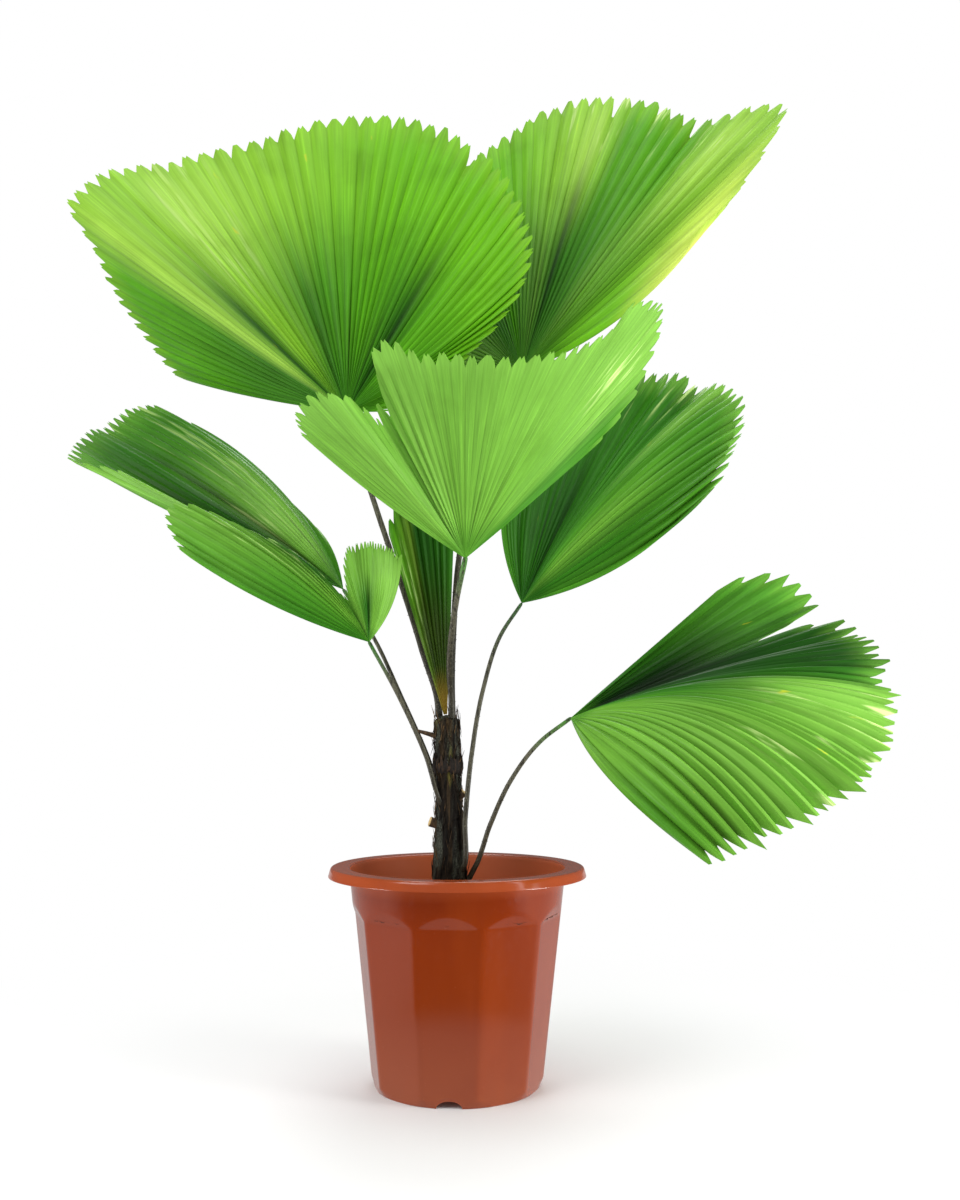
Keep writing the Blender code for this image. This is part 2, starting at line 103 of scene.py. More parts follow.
def positions(mesh):
    found = np.empty(len(mesh.vertices) * 3)
    mesh.vertices.foreach_get("co", found)
    return found.reshape(-1, 3)


def put(mesh, places):
    mesh.vertices.foreach_set("co", np.ascontiguousarray(places, np.float32).ravel())
    mesh.update()


def keep_value(mesh, name, values):
    """A number on each point, for a finish to read."""
    layer = mesh.attributes.new(name, "FLOAT", "POINT")
    layer.data.foreach_set("value", np.ascontiguousarray(values, np.float32))


def bumps(places, size, seed=0.0):
    """Smooth noise between about -1 and 1 at points, with features of a size."""
    scaled = np.asarray(places, float) / size + seed
    return np.array([noise.noise(Vector(point)) for point in scaled])


def close_up(piece, merge=1e-6):
    """Merge seams and poles and turn every face outwards."""
    bpy.ops.object.mode_set(mode="EDIT")
    bpy.ops.mesh.select_all(action="SELECT")
    bpy.ops.mesh.remove_doubles(threshold=merge)
    bpy.ops.mesh.normals_make_consistent(inside=False)
    bpy.ops.object.mode_set(mode="OBJECT")
    return piece


def skinned(name, around, rows, place):
    """A skin of stacked rings, each pushed out from the last. place(turn, along) gives its points.

    turn is the angle round the ring in radians and along runs from 0 to 1.
    """
    deselect()
    bpy.ops.mesh.primitive_circle_add(vertices=around, radius=1.0)
    piece = named(name)
    bpy.ops.object.mode_set(mode="EDIT")
    bpy.ops.mesh.select_all(action="SELECT")
    for _ in range(rows):
        bpy.ops.mesh.extrude_region_move(TRANSFORM_OT_translate={"value": (0, 0, 1)})
    bpy.ops.object.mode_set(mode="OBJECT")
    start = positions(piece.data)
    turn = np.arctan2(start[:, 1], start[:, 0]) % (2 * math.pi)
    along = np.round(start[:, 2]) / rows
    put(piece.data, place(turn, along))
    keep_value(piece.data, "along", along)
    close_up(piece)
    bpy.ops.object.shade_smooth()
    return piece


def cut_away(piece, cutter):
    """Cut one closed form out of another, and remove the cutter."""
    pick(piece)
    cut = piece.modifiers.new("cut", "BOOLEAN")
    cut.object = cutter
    cut.operation = "DIFFERENCE"
    cut.solver = "EXACT"
    bpy.ops.object.modifier_apply(modifier=cut.name)
    bpy.data.objects.remove(cutter)


def smooth_by_angle(piece, angle):
    pick(piece)
    bpy.ops.object.shade_smooth_by_angle(angle=math.radians(angle))


def strewn(name, model, frames, shades):
    """Copies of a small model in one piece, each at a frame (origin and three axes)."""
    base = positions(model.data)
    faces = [tuple(face.vertices) for face in model.data.polygons]
    verts = np.vstack([base @ np.array(axes) + origin for origin, axes in frames])
    all_faces = [tuple(v + number * len(base) for v in face)
                 for number in range(len(frames)) for face in faces]
    mesh = bpy.data.meshes.new(name)
    mesh.from_pydata(verts.tolist(), [], all_faces)
    keep_value(mesh, "shade", np.repeat(shades, len(base)))
    bpy.data.objects.remove(model)
    piece = bpy.data.objects.new(name, mesh)
    bpy.context.scene.collection.objects.link(piece)
    pick(piece)
    return close_up(piece, merge=1e-7)


def unit(rows):
    return rows / np.maximum(np.linalg.norm(rows, axis=-1, keepdims=True), 1e-12)


def through(values, places, at):
    """Values on the smooth curve that passes through `values` at the rising `places`."""
    values, places, at = (np.asarray(item, float) for item in (values, places, at))
    index = np.clip(np.searchsorted(places, at, side="right") - 1, 0, len(places) - 2)
    slopes = np.gradient(values, places, axis=0)
    step = (places[index + 1] - places[index])[:, None]
    t = (at - places[index])[:, None] / step
    start, end = values[index], values[index + 1]
    leave, arrive = slopes[index] * step, slopes[index + 1] * step
    return ((2 * t**3 - 3 * t**2 + 1) * start + (t**3 - 2 * t**2 + t) * leave
            + (3 * t**2 - 2 * t**3) * end + (t**3 - t**2) * arrive)


def smooth_route(points, count):
    """Rows (x, y, height, radius), evenly spread on the smooth curve through such rows."""
    points = np.array(points, float)
    steps = np.linalg.norm(np.diff(points[:, :3], axis=0), axis=1)
    places = np.concatenate([[0.0], np.cumsum(steps)])
    return through(points, places, np.linspace(0.0, places[-1], count))


def route_frames(route):
    """Two directions across a route at each of its rows."""
    along = unit(np.gradient(route[:, :3], axis=0))
    side = unit(np.cross(along, (0.0, 1.0, 0.0)))
    return side, np.cross(along, side)


def ring_directions(turn, row, side, front):
    """Which way each point lies from the middle of its ring."""
    return np.cos(turn)[:, None] * side[row] + np.sin(turn)[:, None] * front[row]


# ---- helpers for finishes ----

def tint(red, green, blue):
    """A colour from the values that a display shows."""
    shown = np.array((red, green, blue)) / 255.0
    linear = np.where(shown <= 0.04045, shown / 12.92, ((shown + 0.055) / 1.055) ** 2.4)
    return (*linear.tolist(), 1.0)


class Finish:
    """A material whose nodes are added one after another."""

    def __init__(self, name, roughness=0.5, **sockets):
        self.material = bpy.data.materials.new(name)
        self.material.use_nodes = True
        self.nodes = self.material.node_tree.nodes
        self.links = self.material.node_tree.links
        self.shader = self.nodes["Principled BSDF"]
        self.shader.inputs["Roughness"].default_value = roughness
        for socket, value in sockets.items():
            self.shader.inputs[socket.replace("_", " ")].default_value = value

    def node(self, kind, inputs=(), **settings):
        made = self.nodes.new(f"ShaderNode{kind}")
        for key, value in settings.items():
            setattr(made, key, value)
        for socket, value in dict(inputs).items():
            self.feed(made.inputs[socket], value)
        return made

    def feed(self, socket, value):
        if isinstance(value, bpy.types.NodeSocket):
            self.links.new(value, socket)
        else:
            socket.default_value = value

    def sum(self, operation, first, second=0.0):
        return self.node("Math", {0: first, 1: second}, operation=operation).outputs[0]

    def times(self, value, factor):
        return self.sum("MULTIPLY", value, factor)

    def scaled(self, value, factor, base):
        """A value times a factor, plus a base."""
        return self.sum("ADD", self.times(value, factor), base)

    def object_places(self, scale=(1.0, 1.0, 1.0)):
        places = self.node("TexCoord").outputs["Object"]
        return self.node("Mapping", {"Vector": places, "Scale": scale}).outputs["Vector"]

    def value(self, name):
        return self.node("Attribute", attribute_name=name).outputs["Fac"]

    def noise(self, places, scale, detail=4.0, rough=0.5):
        made = self.node("TexNoise", {"Vector": places, "Scale": scale, "Detail": detail,
                                      "Roughness": rough})
        return made.outputs["Fac"]

    def ramp(self, value, stops):
        made = self.node("ValToRGB", {"Fac": value})
        while len(made.color_ramp.elements) < len(stops):
            made.color_ramp.elements.new(0.5)
        for element, (place, colour) in zip(made.color_ramp.elements, stops):
            element.position = place
            element.color = colour
        return made.outputs["Color"]

    def mask(self, value, low, high):
        """0 below low and 1 above high, or the other way round where low is above high."""
        made = self.node("MapRange", {"Value": value, "From Min": low, "From Max": high},
                         interpolation_type="SMOOTHSTEP")
        return made.outputs["Result"]

    def mix(self, factor, first, second, blend="MIX"):
        made = self.node("Mix", data_type="RGBA", blend_type=blend)
        self.feed(made.inputs[0], factor)
        self.feed(made.inputs[6], first)
        self.feed(made.inputs[7], second)
        return made.outputs[2]

    def patch(self, colour, value, low, high, second, strength=1.0):
        """Mix in a second colour where a value passes from low to high."""
        return self.mix(self.times(self.mask(value, low, high), strength), colour, second)

    def bump(self, height, strength, distance, under=None):
        made = self.node("Bump", {"Height": height, "Strength": strength, "Distance": distance})
        if under is not None:
            self.links.new(under, made.inputs["Normal"])
        return made.outputs["Normal"]

    def finish(self, colour, roughness=None, normal=None):
        self.feed(self.shader.inputs["Base Color"], colour)
        if roughness is not None:
            self.feed(self.shader.inputs["Roughness"], roughness)
        if normal is not None:
            self.feed(self.shader.inputs["Normal"], normal)
        return self.material


# ---- camera, floor and light ----

CAMERA_PLACE = (0.0263, -1.4034, 0.4098)
CAMERA_TILT = 95.974         # 90 looks level, and more looks up
CAMERA_LENS = 35.40          # in millimetres
WORLD_LIGHT = 0.62
WORLD_SHINE = 0.16           # how bright the surroundings look in a reflection
FLOOR_SHINE = 0.6            # how bright the floor looks in a reflection
FLOOR_DARK = 0.01            # the same, for the part of it in front of the pot
WHITE = (1.0, 1.0, 1.0, 1.0)
LAMPS = (                    # place, what it faces, width, height, power
    ((-1.5, -1.5, 2.3), (0.0, 0.0, 0.7), 1.3, 1.3, 30.0),
    ((1.9, -0.9, 1.1), (0.0, 0.0, 0.4), 0.7, 1.9, 16.0),
    ((-1.25, -0.55, 0.14), (0.0, 0.0, 0.12), 0.5, 0.24, 9.0),
    ((1.25, -0.45, 0.14), (0.0, 0.0, 0.12), 0.5, 0.24, 15.0),
    ((0.2, 1.6, 2.4), (0.0, 0.0, 0.8), 1.6, 1.0, 22.0),
    ((0.0, 0.0, 2.9), (0.0, 0.0, 0.0), 1.8, 1.8, 22.0),
)


def add_camera():
    bpy.ops.object.camera_add(location=CAMERA_PLACE,
                              rotation=(math.radians(CAMERA_TILT), 0.0, 0.0))
    camera = bpy.context.object
    camera.data.sensor_width = 36.0
    camera.data.sensor_fit = "AUTO"
    camera.data.lens = CAMERA_LENS
    bpy.context.scene.camera = camera


def add_floor():
    """A pale floor that fades into the pale surroundings. Reflections see it darker in front."""
    deselect()
    bpy.ops.mesh.primitive_circle_add(vertices=96, radius=40.0, fill_type="TRIFAN")
    floor = named("studio_floor")
    paint = Finish("studio_floor", roughness=0.6)
    paint.feed(paint.shader.inputs["Base Color"], (0.86, 0.86, 0.86, 1.0))

    def lit(strength):
        return paint.node("Emission", {"Color": WHITE, "Strength": strength}).outputs[0]

    def blend(factor, first, second):
        return paint.node("MixShader", {0: factor, 1: first, 2: second}).outputs[0]

    places = paint.object_places()
    reach = paint.node("VectorMath", {0: places}, operation="LENGTH").outputs["Value"]
    depth = paint.node("SeparateXYZ", {0: places}).outputs["Y"]
    ahead = paint.sum("DIVIDE", paint.times(depth, -1.0), reach)
    in_front = paint.times(paint.mask(reach, 0.27, 0.33), paint.mask(ahead, 0.22, 0.62))
    pale = blend(paint.mask(reach, 0.10, 0.90), paint.shader.outputs[0], lit(1.0))
    reflected = blend(in_front, lit(FLOOR_SHINE), lit(FLOOR_DARK))
    ray = paint.node("LightPath").outputs["Is Glossy Ray"]
    paint.links.new(blend(ray, pale, reflected),
                    paint.nodes["Material Output"].inputs["Surface"])
    floor.data.materials.append(paint.material)


def add_surroundings():
    world = bpy.data.worlds.new("studio")
    bpy.context.scene.world = world
    world.use_nodes = True
    nodes, links = world.node_tree.nodes, world.node_tree.links
    rays = nodes.new("ShaderNodeLightPath")
    shine = nodes.new("ShaderNodeMix")
    shine.inputs[2].default_value = WORLD_LIGHT
    shine.inputs[3].default_value = WORLD_SHINE
    links.new(rays.outputs["Is Glossy Ray"], shine.inputs[0])
    shown = nodes.new("ShaderNodeMix")
    shown.inputs[3].default_value = 1.0
    links.new(rays.outputs["Is Camera Ray"], shown.inputs[0])
    links.new(shine.outputs[0], shown.inputs[2])
    links.new(shown.outputs[0], nodes["Background"].inputs["Strength"])
    nodes["Background"].inputs["Color"].default_value = WHITE


def add_lamps():
    for place, target, width, height, power in LAMPS:
        bpy.ops.object.light_add(type="AREA", location=place)
        lamp = bpy.context.object
        lamp.data.shape = "RECTANGLE"
        lamp.data.size = width
        lamp.data.size_y = height
        lamp.data.energy = power
        lamp.visible_camera = False
        aim = Vector(target) - Vector(place)
        lamp.rotation_euler = aim.to_track_quat("-Z", "Y").to_euler()


deselect()
add_camera()
add_floor()
add_surroundings()
add_lamps()
bpy.context.scene.view_settings.view_transform = "Standard"


# ---- pot ----

ROUND_STEPS = 300            # a whole number for each panel
FINE_STEP = 0.0022
PLAIN_STEP = 0.009
FOOT_TURN = -4.0             # where the first notch and drain hole are, as POT_TURN
FOOT_MIDDLE = (WELL_RADIUS + FOOT_RADIUS) / 2
NOTCH_HEIGHT = 0.008
NOTCH_HALF_WIDTH = 0.014
DRAIN_RADIUS = 0.006
DRAINS = 4
CORNER = math.cos(math.pi / POT_SIDES)


def body_radius(z):
    """Outside radius of the plain tapered wall."""
    share = (z - FOOT_HEIGHT) / (POT_HEIGHT - FOOT_HEIGHT)
    return BODY_LOW_RADIUS + share * (BODY_TOP_RADIUS - BODY_LOW_RADIUS)


def panel_reach(turn, z, inset):
    """How far out the ten flat panels lie, set in by `inset`."""
    shelf_top = PANEL_TOP + SHELF_HEIGHT
    slope = (body_radius(shelf_top) / CORNER - body_radius(PANEL_TOP)) / SHELF_HEIGHT
    corner = body_radius(np.minimum(z, PANEL_TOP)) + slope * np.maximum(z - PANEL_TOP, 0.0)
    corner = corner + EDGE_RELIEF - inset / CORNER
    corner = np.where(z > (shelf_top + POT_HEIGHT - RIM_SKIRT) / 2, 2 * RIM_RADIUS, corner)
    panel = 2 * math.pi / POT_SIDES
    middle = math.radians(POT_TURN - 90.0) + panel / 2
    local = (turn - middle + panel / 2) % panel - panel / 2
    return corner * CORNER / np.cos(local)


def softer_min(first, second, softness):
    low = np.minimum(first, second)
    return low - softness * np.log(np.exp((low - first) / softness)
                                   + np.exp((low - second) / softness))


def rounded_section(corners, fine_from, fine_to):
    """Points (radius, z, inset) along a section whose corners (radius, z, rounding, inset)
    are rounded. They lie closer together between the two heights."""
    points = []
    for number, (radius, z, rounding, inset) in enumerate(corners):
        here = np.array((radius, z))
        if rounding and 0 < number < len(corners) - 1:
            before = np.array(corners[number - 1][:2]) - here
            after = np.array(corners[number + 1][:2]) - here
            reach = min(rounding, 0.49 * np.linalg.norm(before), 0.49 * np.linalg.norm(after))
            enter, leave = here + reach * unit(before), here + reach * unit(after)
            for share in np.linspace(0.0, 1.0, 5):
                bend = (1 - share)**2 * enter + 2 * share * (1 - share) * here + share**2 * leave
                points.append((*bend, inset))
        else:
            points.append((*here, inset))
    dense = [points[0]]
    for point in points[1:]:
        last = dense[-1]
        height = (last[1] + point[1]) / 2
        step = FINE_STEP if fine_from < height < fine_to else PLAIN_STEP
        count = max(1, math.ceil(math.dist(last[:2], point[:2]) / step))
        for share in np.arange(1, count + 1) / count:
            place = [a + share * (b - a) for a, b in zip(last[:2], point[:2])]
            dense.append((*place, point[2]))
    return np.array(dense)


def build_pot():
    """One moulding, drawn from the middle of its underside over the rim to its inside floor."""
    wall = POT_WALL
    skirt_low = POT_HEIGHT - RIM_SKIRT
    flange = POT_HEIGHT - wall
    inside = body_radius(POT_HEIGHT) - wall
    floor_top = FLOOR_RAISE + wall
    low_arch = PANEL_TOP - 0.006
    section = rounded_section((
        (0.0, 0.0, 0, wall), (WELL_RADIUS + wall, 0.0, 0.0006, wall),
        (WELL_RADIUS + wall, FLOOR_RAISE, 0.0006, wall),
        (body_radius(FLOOR_RAISE) - wall, FLOOR_RAISE, 0.0006, wall),
        (FOOT_RADIUS - wall, 0.0, 0.0004, wall), (FOOT_RADIUS, 0.0, 0.0008, 0.0),
        (BODY_LOW_RADIUS, FOOT_HEIGHT, 0.002, 0.0), (body_radius(low_arch), low_arch, 0, 0.0),
        (body_radius(flange), flange, 0.0012, 0.0), (RIM_TOP_RADIUS - wall, flange, 0.0010, 0.0),
        (RIM_RADIUS - wall, skirt_low, 0.0006, 0.0), (RIM_RADIUS, skirt_low, 0.0009, 0.0),
        (RIM_TOP_RADIUS, POT_HEIGHT, 0.0032, 0.0),
        (inside + MOUTH_ROUNDING + 0.006, POT_HEIGHT - 0.0004, 0.003, 0.0),
        (inside + MOUTH_ROUNDING, POT_HEIGHT, 0.001, 0.0),
        (inside + 0.001, POT_HEIGHT - 0.001, 0.001, wall),
        (inside, POT_HEIGHT - MOUTH_ROUNDING, 0.002, wall),
        (body_radius(low_arch) - wall, low_arch, 0, wall),
        (body_radius(floor_top) - wall, floor_top, 0.003, wall),
        (WELL_RADIUS, floor_top, 0.002, wall), (WELL_RADIUS, wall, 0.002, wall),
        (0.0, wall, 0, wall)), low_arch, POT_HEIGHT)
    rows = len(section) - 1

    def place(turn, along):
        radius, z, inset = section[np.round(along * rows).astype(int)].T
        turn = turn + math.radians(POT_TURN - 90.0)
        panels = panel_reach(turn, z, inset)
        radius = np.where(radius > 0.07, softer_min(radius, panels, EDGE_SOFTNESS), radius)
        return np.stack([radius * np.cos(turn), radius * np.sin(turn), z], axis=1)

    pot = skinned("terracotta_pot", ROUND_STEPS, rows, place)
    for angle in (FOOT_TURN, FOOT_TURN + 180.0):
        cut_away(pot, notch(angle))
    for number in range(DRAINS):
        cut_away(pot, drain(FOOT_TURN + 360.0 / DRAINS * number))
    smooth_by_angle(pot, 28)
    x, y, z = positions(pot.data).T
    outside = softer_min(body_radius(z), panel_reach(np.arctan2(y, x), z, 0.0), EDGE_SOFTNESS)
    inner = (outside - np.hypot(x, y) > wall / 2) & (z > floor_top)
    keep_value(pot.data, "inside", inner.astype(float))
    pot.data.materials.append(pot_finish())
    return pot


def notch(angle):
    """The form of an arched gap through the foot."""
    deselect()
    bpy.ops.mesh.primitive_cylinder_add(vertices=48, radius=1.0, depth=1.0)
    cutter = named("notch")
    length = BODY_LOW_RADIUS + POT_WALL - FOOT_MIDDLE
    middle = FOOT_MIDDLE + length / 2
    turn = math.radians(angle - 90.0)
    cutter.scale = (NOTCH_HEIGHT, NOTCH_HALF_WIDTH, length)
    cutter.rotation_euler = (0.0, math.pi / 2, turn)
    cutter.location = (middle * math.cos(turn), middle * math.sin(turn), 0)
    bpy.context.view_layer.update()
    return cutter


def drain(angle):
    """The form of a drain hole through the raised floor."""
    deselect()
    turn = math.radians(angle - 90.0)
    bpy.ops.mesh.primitive_cylinder_add(
        vertices=32, radius=DRAIN_RADIUS, depth=4 * POT_WALL,
        location=(FOOT_MIDDLE * math.cos(turn), FOOT_MIDDLE * math.sin(turn),
                  FLOOR_RAISE + POT_WALL / 2))
    return named("drain")


def pot_finish():
    """Glossy moulded plastic: a deep orange brown, paler at the rim. Paler near the foot is a
    painted reflection of the pale floor, and paler inside is painted light falling into the pot.
    """
    paint = Finish("terracotta_plastic", roughness=0.2, Specular_IOR_Level=0.5)
    places = paint.object_places()
    height = paint.node("SeparateXYZ", {0: places}).outputs["Z"]
    cloud = paint.noise(places, 9.0, 4.0, 0.55)
    flow = paint.noise(paint.object_places((26.0, 26.0, 2.5)), 1.0, 3.0)
    level = paint.sum("ADD", height, paint.times(paint.sum("SUBTRACT", cloud, 0.5), 0.02))
    # Colour by height: paler towards the foot, which is a painted reflection of the pale floor,
    # and paler at the rim.
    colour = paint.ramp(paint.sum("DIVIDE", level, POT_HEIGHT), (
        (0.0, tint(130, 60, 30)), (0.35, tint(120, 45, 10)), (0.90, tint(120, 40, 5)),
        (0.97, tint(150, 65, 30))))
    colour = paint.patch(colour, flow, 0.45, 0.75, tint(140, 56, 12), 0.30)
    colour = paint.patch(colour, cloud, 0.50, 0.75, tint(112, 34, 2), 0.30)
    # Painted light: the inside of the pot is painted much paler, standing in for the light that
    # falls into it.
    colour = paint.mix(paint.value("inside"), colour, tint(192, 90, 44))
    # Painted glints: fine pale specks in the colour of the pot's highlights.
    painted_glints = paint.noise(places, 420.0, 2.0, 0.7)
    colour = paint.patch(colour, painted_glints, 0.70, 0.78, tint(196, 134, 104), 0.18)
    scuffs = paint.noise(paint.object_places((160.0, 160.0, 90.0)), 1.0, 3.0, 0.6)
    rough = paint.sum("ADD", paint.times(cloud, 0.12),
                      paint.times(paint.mask(scuffs, 0.50, 0.8), 0.08))
    rough = paint.sum("ADD", rough, paint.times(paint.value("inside"), 0.35))
    rough = paint.sum("ADD", rough, 0.09)
    fine = paint.bump(scuffs, 0.03, 0.0003)
    wavy = paint.bump(flow, 0.05, 0.0010, fine)
    return paint.finish(colour, rough, wavy)


# ---- potting mix ----

def mix_edge(turn, z):
    """Inside radius of the pot, less the clearance."""
    round_wall = body_radius(z) - POT_WALL
    return softer_min(round_wall, panel_reach(turn, z, POT_WALL), EDGE_SOFTNESS) - MIX_CLEARANCE


def trunk_at(height):
    route = smooth_route(TRUNK_ROUTE, 61)
    return [np.interp(height, route[:, 2], route[:, column]) for column in (0, 1, 3)]


def build_mix():
    """Potting mix up to its crumbly top, with a hole for the trunk."""
    floor = FLOOR_RAISE + POT_WALL + MIX_CLEARANCE
    heights = np.concatenate([[floor], np.linspace(floor, SOIL_TOP - 0.004, 24)])
    rings, hole = 46, np.linspace(0.0, -0.096, 8)
    rows = len(heights) + rings + len(hole)

    def place(turn, along):
        row = np.round(along * rows).astype(int)
        points = np.zeros((len(turn), 3))
        for number in range(rows + 1):
            these = row == number
            angle = turn[these]
            circle = np.stack([np.cos(angle), np.sin(angle)], axis=1)
            if number < len(heights):
                z = heights[number]
                radius = mix_edge(angle, z) * (0.0 if number == 0 else 1.0)
                points[these, :2], points[these, 2] = circle * radius[:, None], z
            elif number < len(heights) + rings:
                share = (number - len(heights)) / (rings - 1)
                x, y, trunk = trunk_at(0.0)
                outer = circle * mix_edge(angle, SOIL_TOP)[:, None]
                inner = circle * (trunk + TRUNK_CLEARANCE) + (x, y)
                points[these, :2] = outer + (inner - outer) * share**0.9
                points[these, 2] = SOIL_TOP - 0.002 * (share < 0.01)
            else:
                height = hole[number - len(heights) - rings] if number < rows else hole[-1]
                x, y, trunk = trunk_at(height)
                radius = (trunk + TRUNK_CLEARANCE) * (0.0 if number == rows else 1.0)
                points[these, :2] = circle * radius + (x, y)
                points[these, 2] = SOIL_TOP + height
        top = (row >= len(heights)) & (row < len(heights) + rings)
        crumbs = 0.0030 * bumps(points[top], 0.016) + 0.0018 * bumps(points[top], 0.006, 7.0)
        crumbs += 0.0010 * bumps(points[top], 0.0025, 19.0)
        points[top, 2] += crumbs - 0.0030
        return points

    mix = skinned("potting_mix_bed", 220, rows, place)
    mix.data.materials.append(mix_finish("potting_mix"))
    return mix


def build_chips(count=420):
    """Bark chips and clods lying on the mix."""
    deselect()
    bpy.ops.mesh.primitive_ico_sphere_add(subdivisions=1, radius=1.0)
    clod = named("clod")
    ball = positions(clod.data)
    put(clod.data, ball * (1 + 0.25 * bumps(ball, 0.7, 3.0))[:, None])
    luck = np.random.default_rng(11)
    frames, shades = [], []
    x, y, trunk = trunk_at(0.0)
    while len(frames) < count:
        angle, share = luck.uniform(0, 2 * math.pi), luck.uniform() ** 0.5
        spot = share * 0.112 * np.array((math.cos(angle), math.sin(angle)))
        if math.dist(spot, (x, y)) < trunk + 0.006:
            continue
        size = luck.uniform(0.0012, 0.0042) * np.array((1.0, luck.uniform(0.4, 1.0), 0.45))
        spin = luck.uniform(0, 2 * math.pi)
        tip = luck.normal(0.0, 0.3, 2)
        axes = np.array(((math.cos(spin), math.sin(spin), tip[0]),
                         (-math.sin(spin), math.cos(spin), tip[1]), (-tip[0], -tip[1], 1.0)))
        frames.append(((*spot, SOIL_TOP - 0.0022), unit(axes) * size[:, None]))
        shades.append(luck.uniform())
    chips = strewn("bark_chips", clod, frames, np.array(shades))
    chips.data.materials.append(mix_finish("bark_chip", chips=True))
    return chips


def mix_finish(name, chips=False):
    paint = Finish(name, roughness=0.95, Specular_IOR_Level=0.25)
    places = paint.object_places()
    grain = paint.noise(places, 420.0, 5.0, 0.7)
    patch = paint.noise(places, 60.0, 3.0)
    colour = paint.ramp(grain, ((0.25, tint(24, 17, 12)), (0.50, tint(58, 42, 30)),
                                (0.66, tint(92, 70, 52)), (0.80, tint(128, 108, 88))))
    colour = paint.patch(colour, patch, 0.40, 0.70, tint(40, 28, 20))
    if chips:
        brown = paint.ramp(paint.value("shade"), ((0.0, tint(46, 30, 20)), (0.5, tint(96, 66, 44)),
                                                  (0.9, tint(150, 118, 88))))
        colour = paint.mix(0.55, colour, brown)
    rough = paint.scaled(grain, 0.2, 0.75)
    return paint.finish(colour, rough, paint.bump(grain, 0.5, 0.001))


# ---- trunk ----

def build_trunk():
    """A fibrous stem wrapped in the torn bases of old stalks."""
    rows = 230
    route = smooth_route(TRUNK_ROUTE, rows + 1)
    side, front = route_frames(route)

    def place(turn, along):
        row = np.round(along * rows).astype(int)
        circle = ring_directions(turn, row, side, front)
        height = route[row, 2]
        spots = np.stack([np.cos(turn) * 0.02, np.sin(turn) * 0.02, height * 0.16], axis=1)
        ridges = 0.0015 * bumps(spots, 0.0045, 2.0) + 0.0007 * bumps(spots, 0.0016, 5.0)
        wraps = (height / 0.034 + turn / (2 * math.pi) + 0.3 * np.sin(2 * turn)) % 1.0
        torn = 0.0010 * (0.5 - wraps) + 0.0004 * bumps(
            np.stack([np.cos(turn) * 0.02, np.sin(turn) * 0.02, height], axis=1), 0.003, 9.0)
        radius = route[row, 3] + ridges + torn - 0.0006
        ends = np.minimum(1.0, np.minimum(4.0 * along, 1.4 * (1 - along)) * rows / 10)
        radius = radius * np.sqrt(np.maximum(1 - (1 - ends)**2, 0.0))
        points = route[row, :3] + circle * radius[:, None]
        points[:, 2] += SOIL_TOP
        return points

    trunk = skinned("fibrous_trunk", 150, rows, place)
    smooth_by_angle(trunk, 60)
    trunk.data.materials.append(bark_finish())
    return trunk


def build_fibres(count=420):
    """Loose fibres clinging to the trunk."""
    deselect()
    bpy.ops.mesh.primitive_cylinder_add(vertices=5, radius=1.0, depth=1.0, end_fill_type="TRIFAN")
    strand = named("strand")
    bpy.ops.object.mode_set(mode="EDIT")
    bpy.ops.mesh.select_all(action="SELECT")
    bpy.ops.mesh.bisect(plane_co=(0, 0, 0.2), plane_no=(0, 0, 1))
    bpy.ops.mesh.select_all(action="SELECT")
    bpy.ops.mesh.bisect(plane_co=(0, 0, -0.2), plane_no=(0, 0, 1))
    bpy.ops.object.mode_set(mode="OBJECT")
    shape = positions(strand.data)
    thin = 1.0 - 1.5 * np.abs(shape[:, 2])
    shape[:, :2] *= np.maximum(thin, 0.15)[:, None]
    shape[:, 0] += 2.2 * (0.25 - shape[:, 2]**2) - 0.3
    put(strand.data, shape)
    luck = np.random.default_rng(5)
    frames, shades = [], []
    for _ in range(count):
        height = luck.uniform(0.004, 0.212) if luck.uniform() < 0.6 else luck.uniform(0.14, 0.222)
        x, y, trunk = trunk_at(height)
        turn = luck.uniform(0, 2 * math.pi)
        out = np.array((math.cos(turn), math.sin(turn), 0.0))
        up = unit(np.array((*(0.22 * luck.normal(size=2)), 1.0)))
        across = unit(np.cross(up, out))
        thick = luck.uniform(0.00025, 0.0006)
        long = luck.uniform(0.010, 0.030)
        axes = np.array((out * thick * 1.4, across * thick, up * long))
        frames.append((np.array((x, y, height + SOIL_TOP)) + out * (trunk + 0.0002), axes))
        shades.append(luck.uniform())
    fibres = strewn("trunk_fibres", strand, frames, np.array(shades))
    fibres.data.materials.append(fibre_finish())
    return fibres


def bark_finish():
    paint = Finish("fibrous_bark", roughness=0.85, Specular_IOR_Level=0.12)
    places = paint.object_places()
    strips = paint.noise(paint.object_places((150.0, 150.0, 9.0)), 1.0, 5.0, 0.6)
    patch = paint.noise(paint.object_places((70.0, 70.0, 14.0)), 1.0, 3.0)
    grit = paint.noise(places, 900.0, 3.0, 0.7)
    colour = paint.ramp(strips, ((0.32, tint(8, 7, 6)), (0.50, tint(26, 21, 15)),
                                 (0.62, tint(56, 44, 29)), (0.74, tint(104, 84, 54))))
    grey = paint.mix(paint.mask(grit, 0.42, 0.62), tint(34, 36, 31), tint(88, 92, 80))
    colour = paint.mix(paint.times(paint.mask(patch, 0.50, 0.62), 0.75), colour, grey)
    olive = paint.noise(paint.object_places((55.0, 55.0, 4.0)), 1.3, 2.0)
    colour = paint.patch(colour, olive, 0.60, 0.70, tint(116, 112, 48), 0.6)
    rough = paint.scaled(strips, 0.3, 0.62)
    normal = paint.bump(grit, 0.4, 0.0006, paint.bump(strips, 0.7, 0.0014))
    return paint.finish(colour, rough, normal)


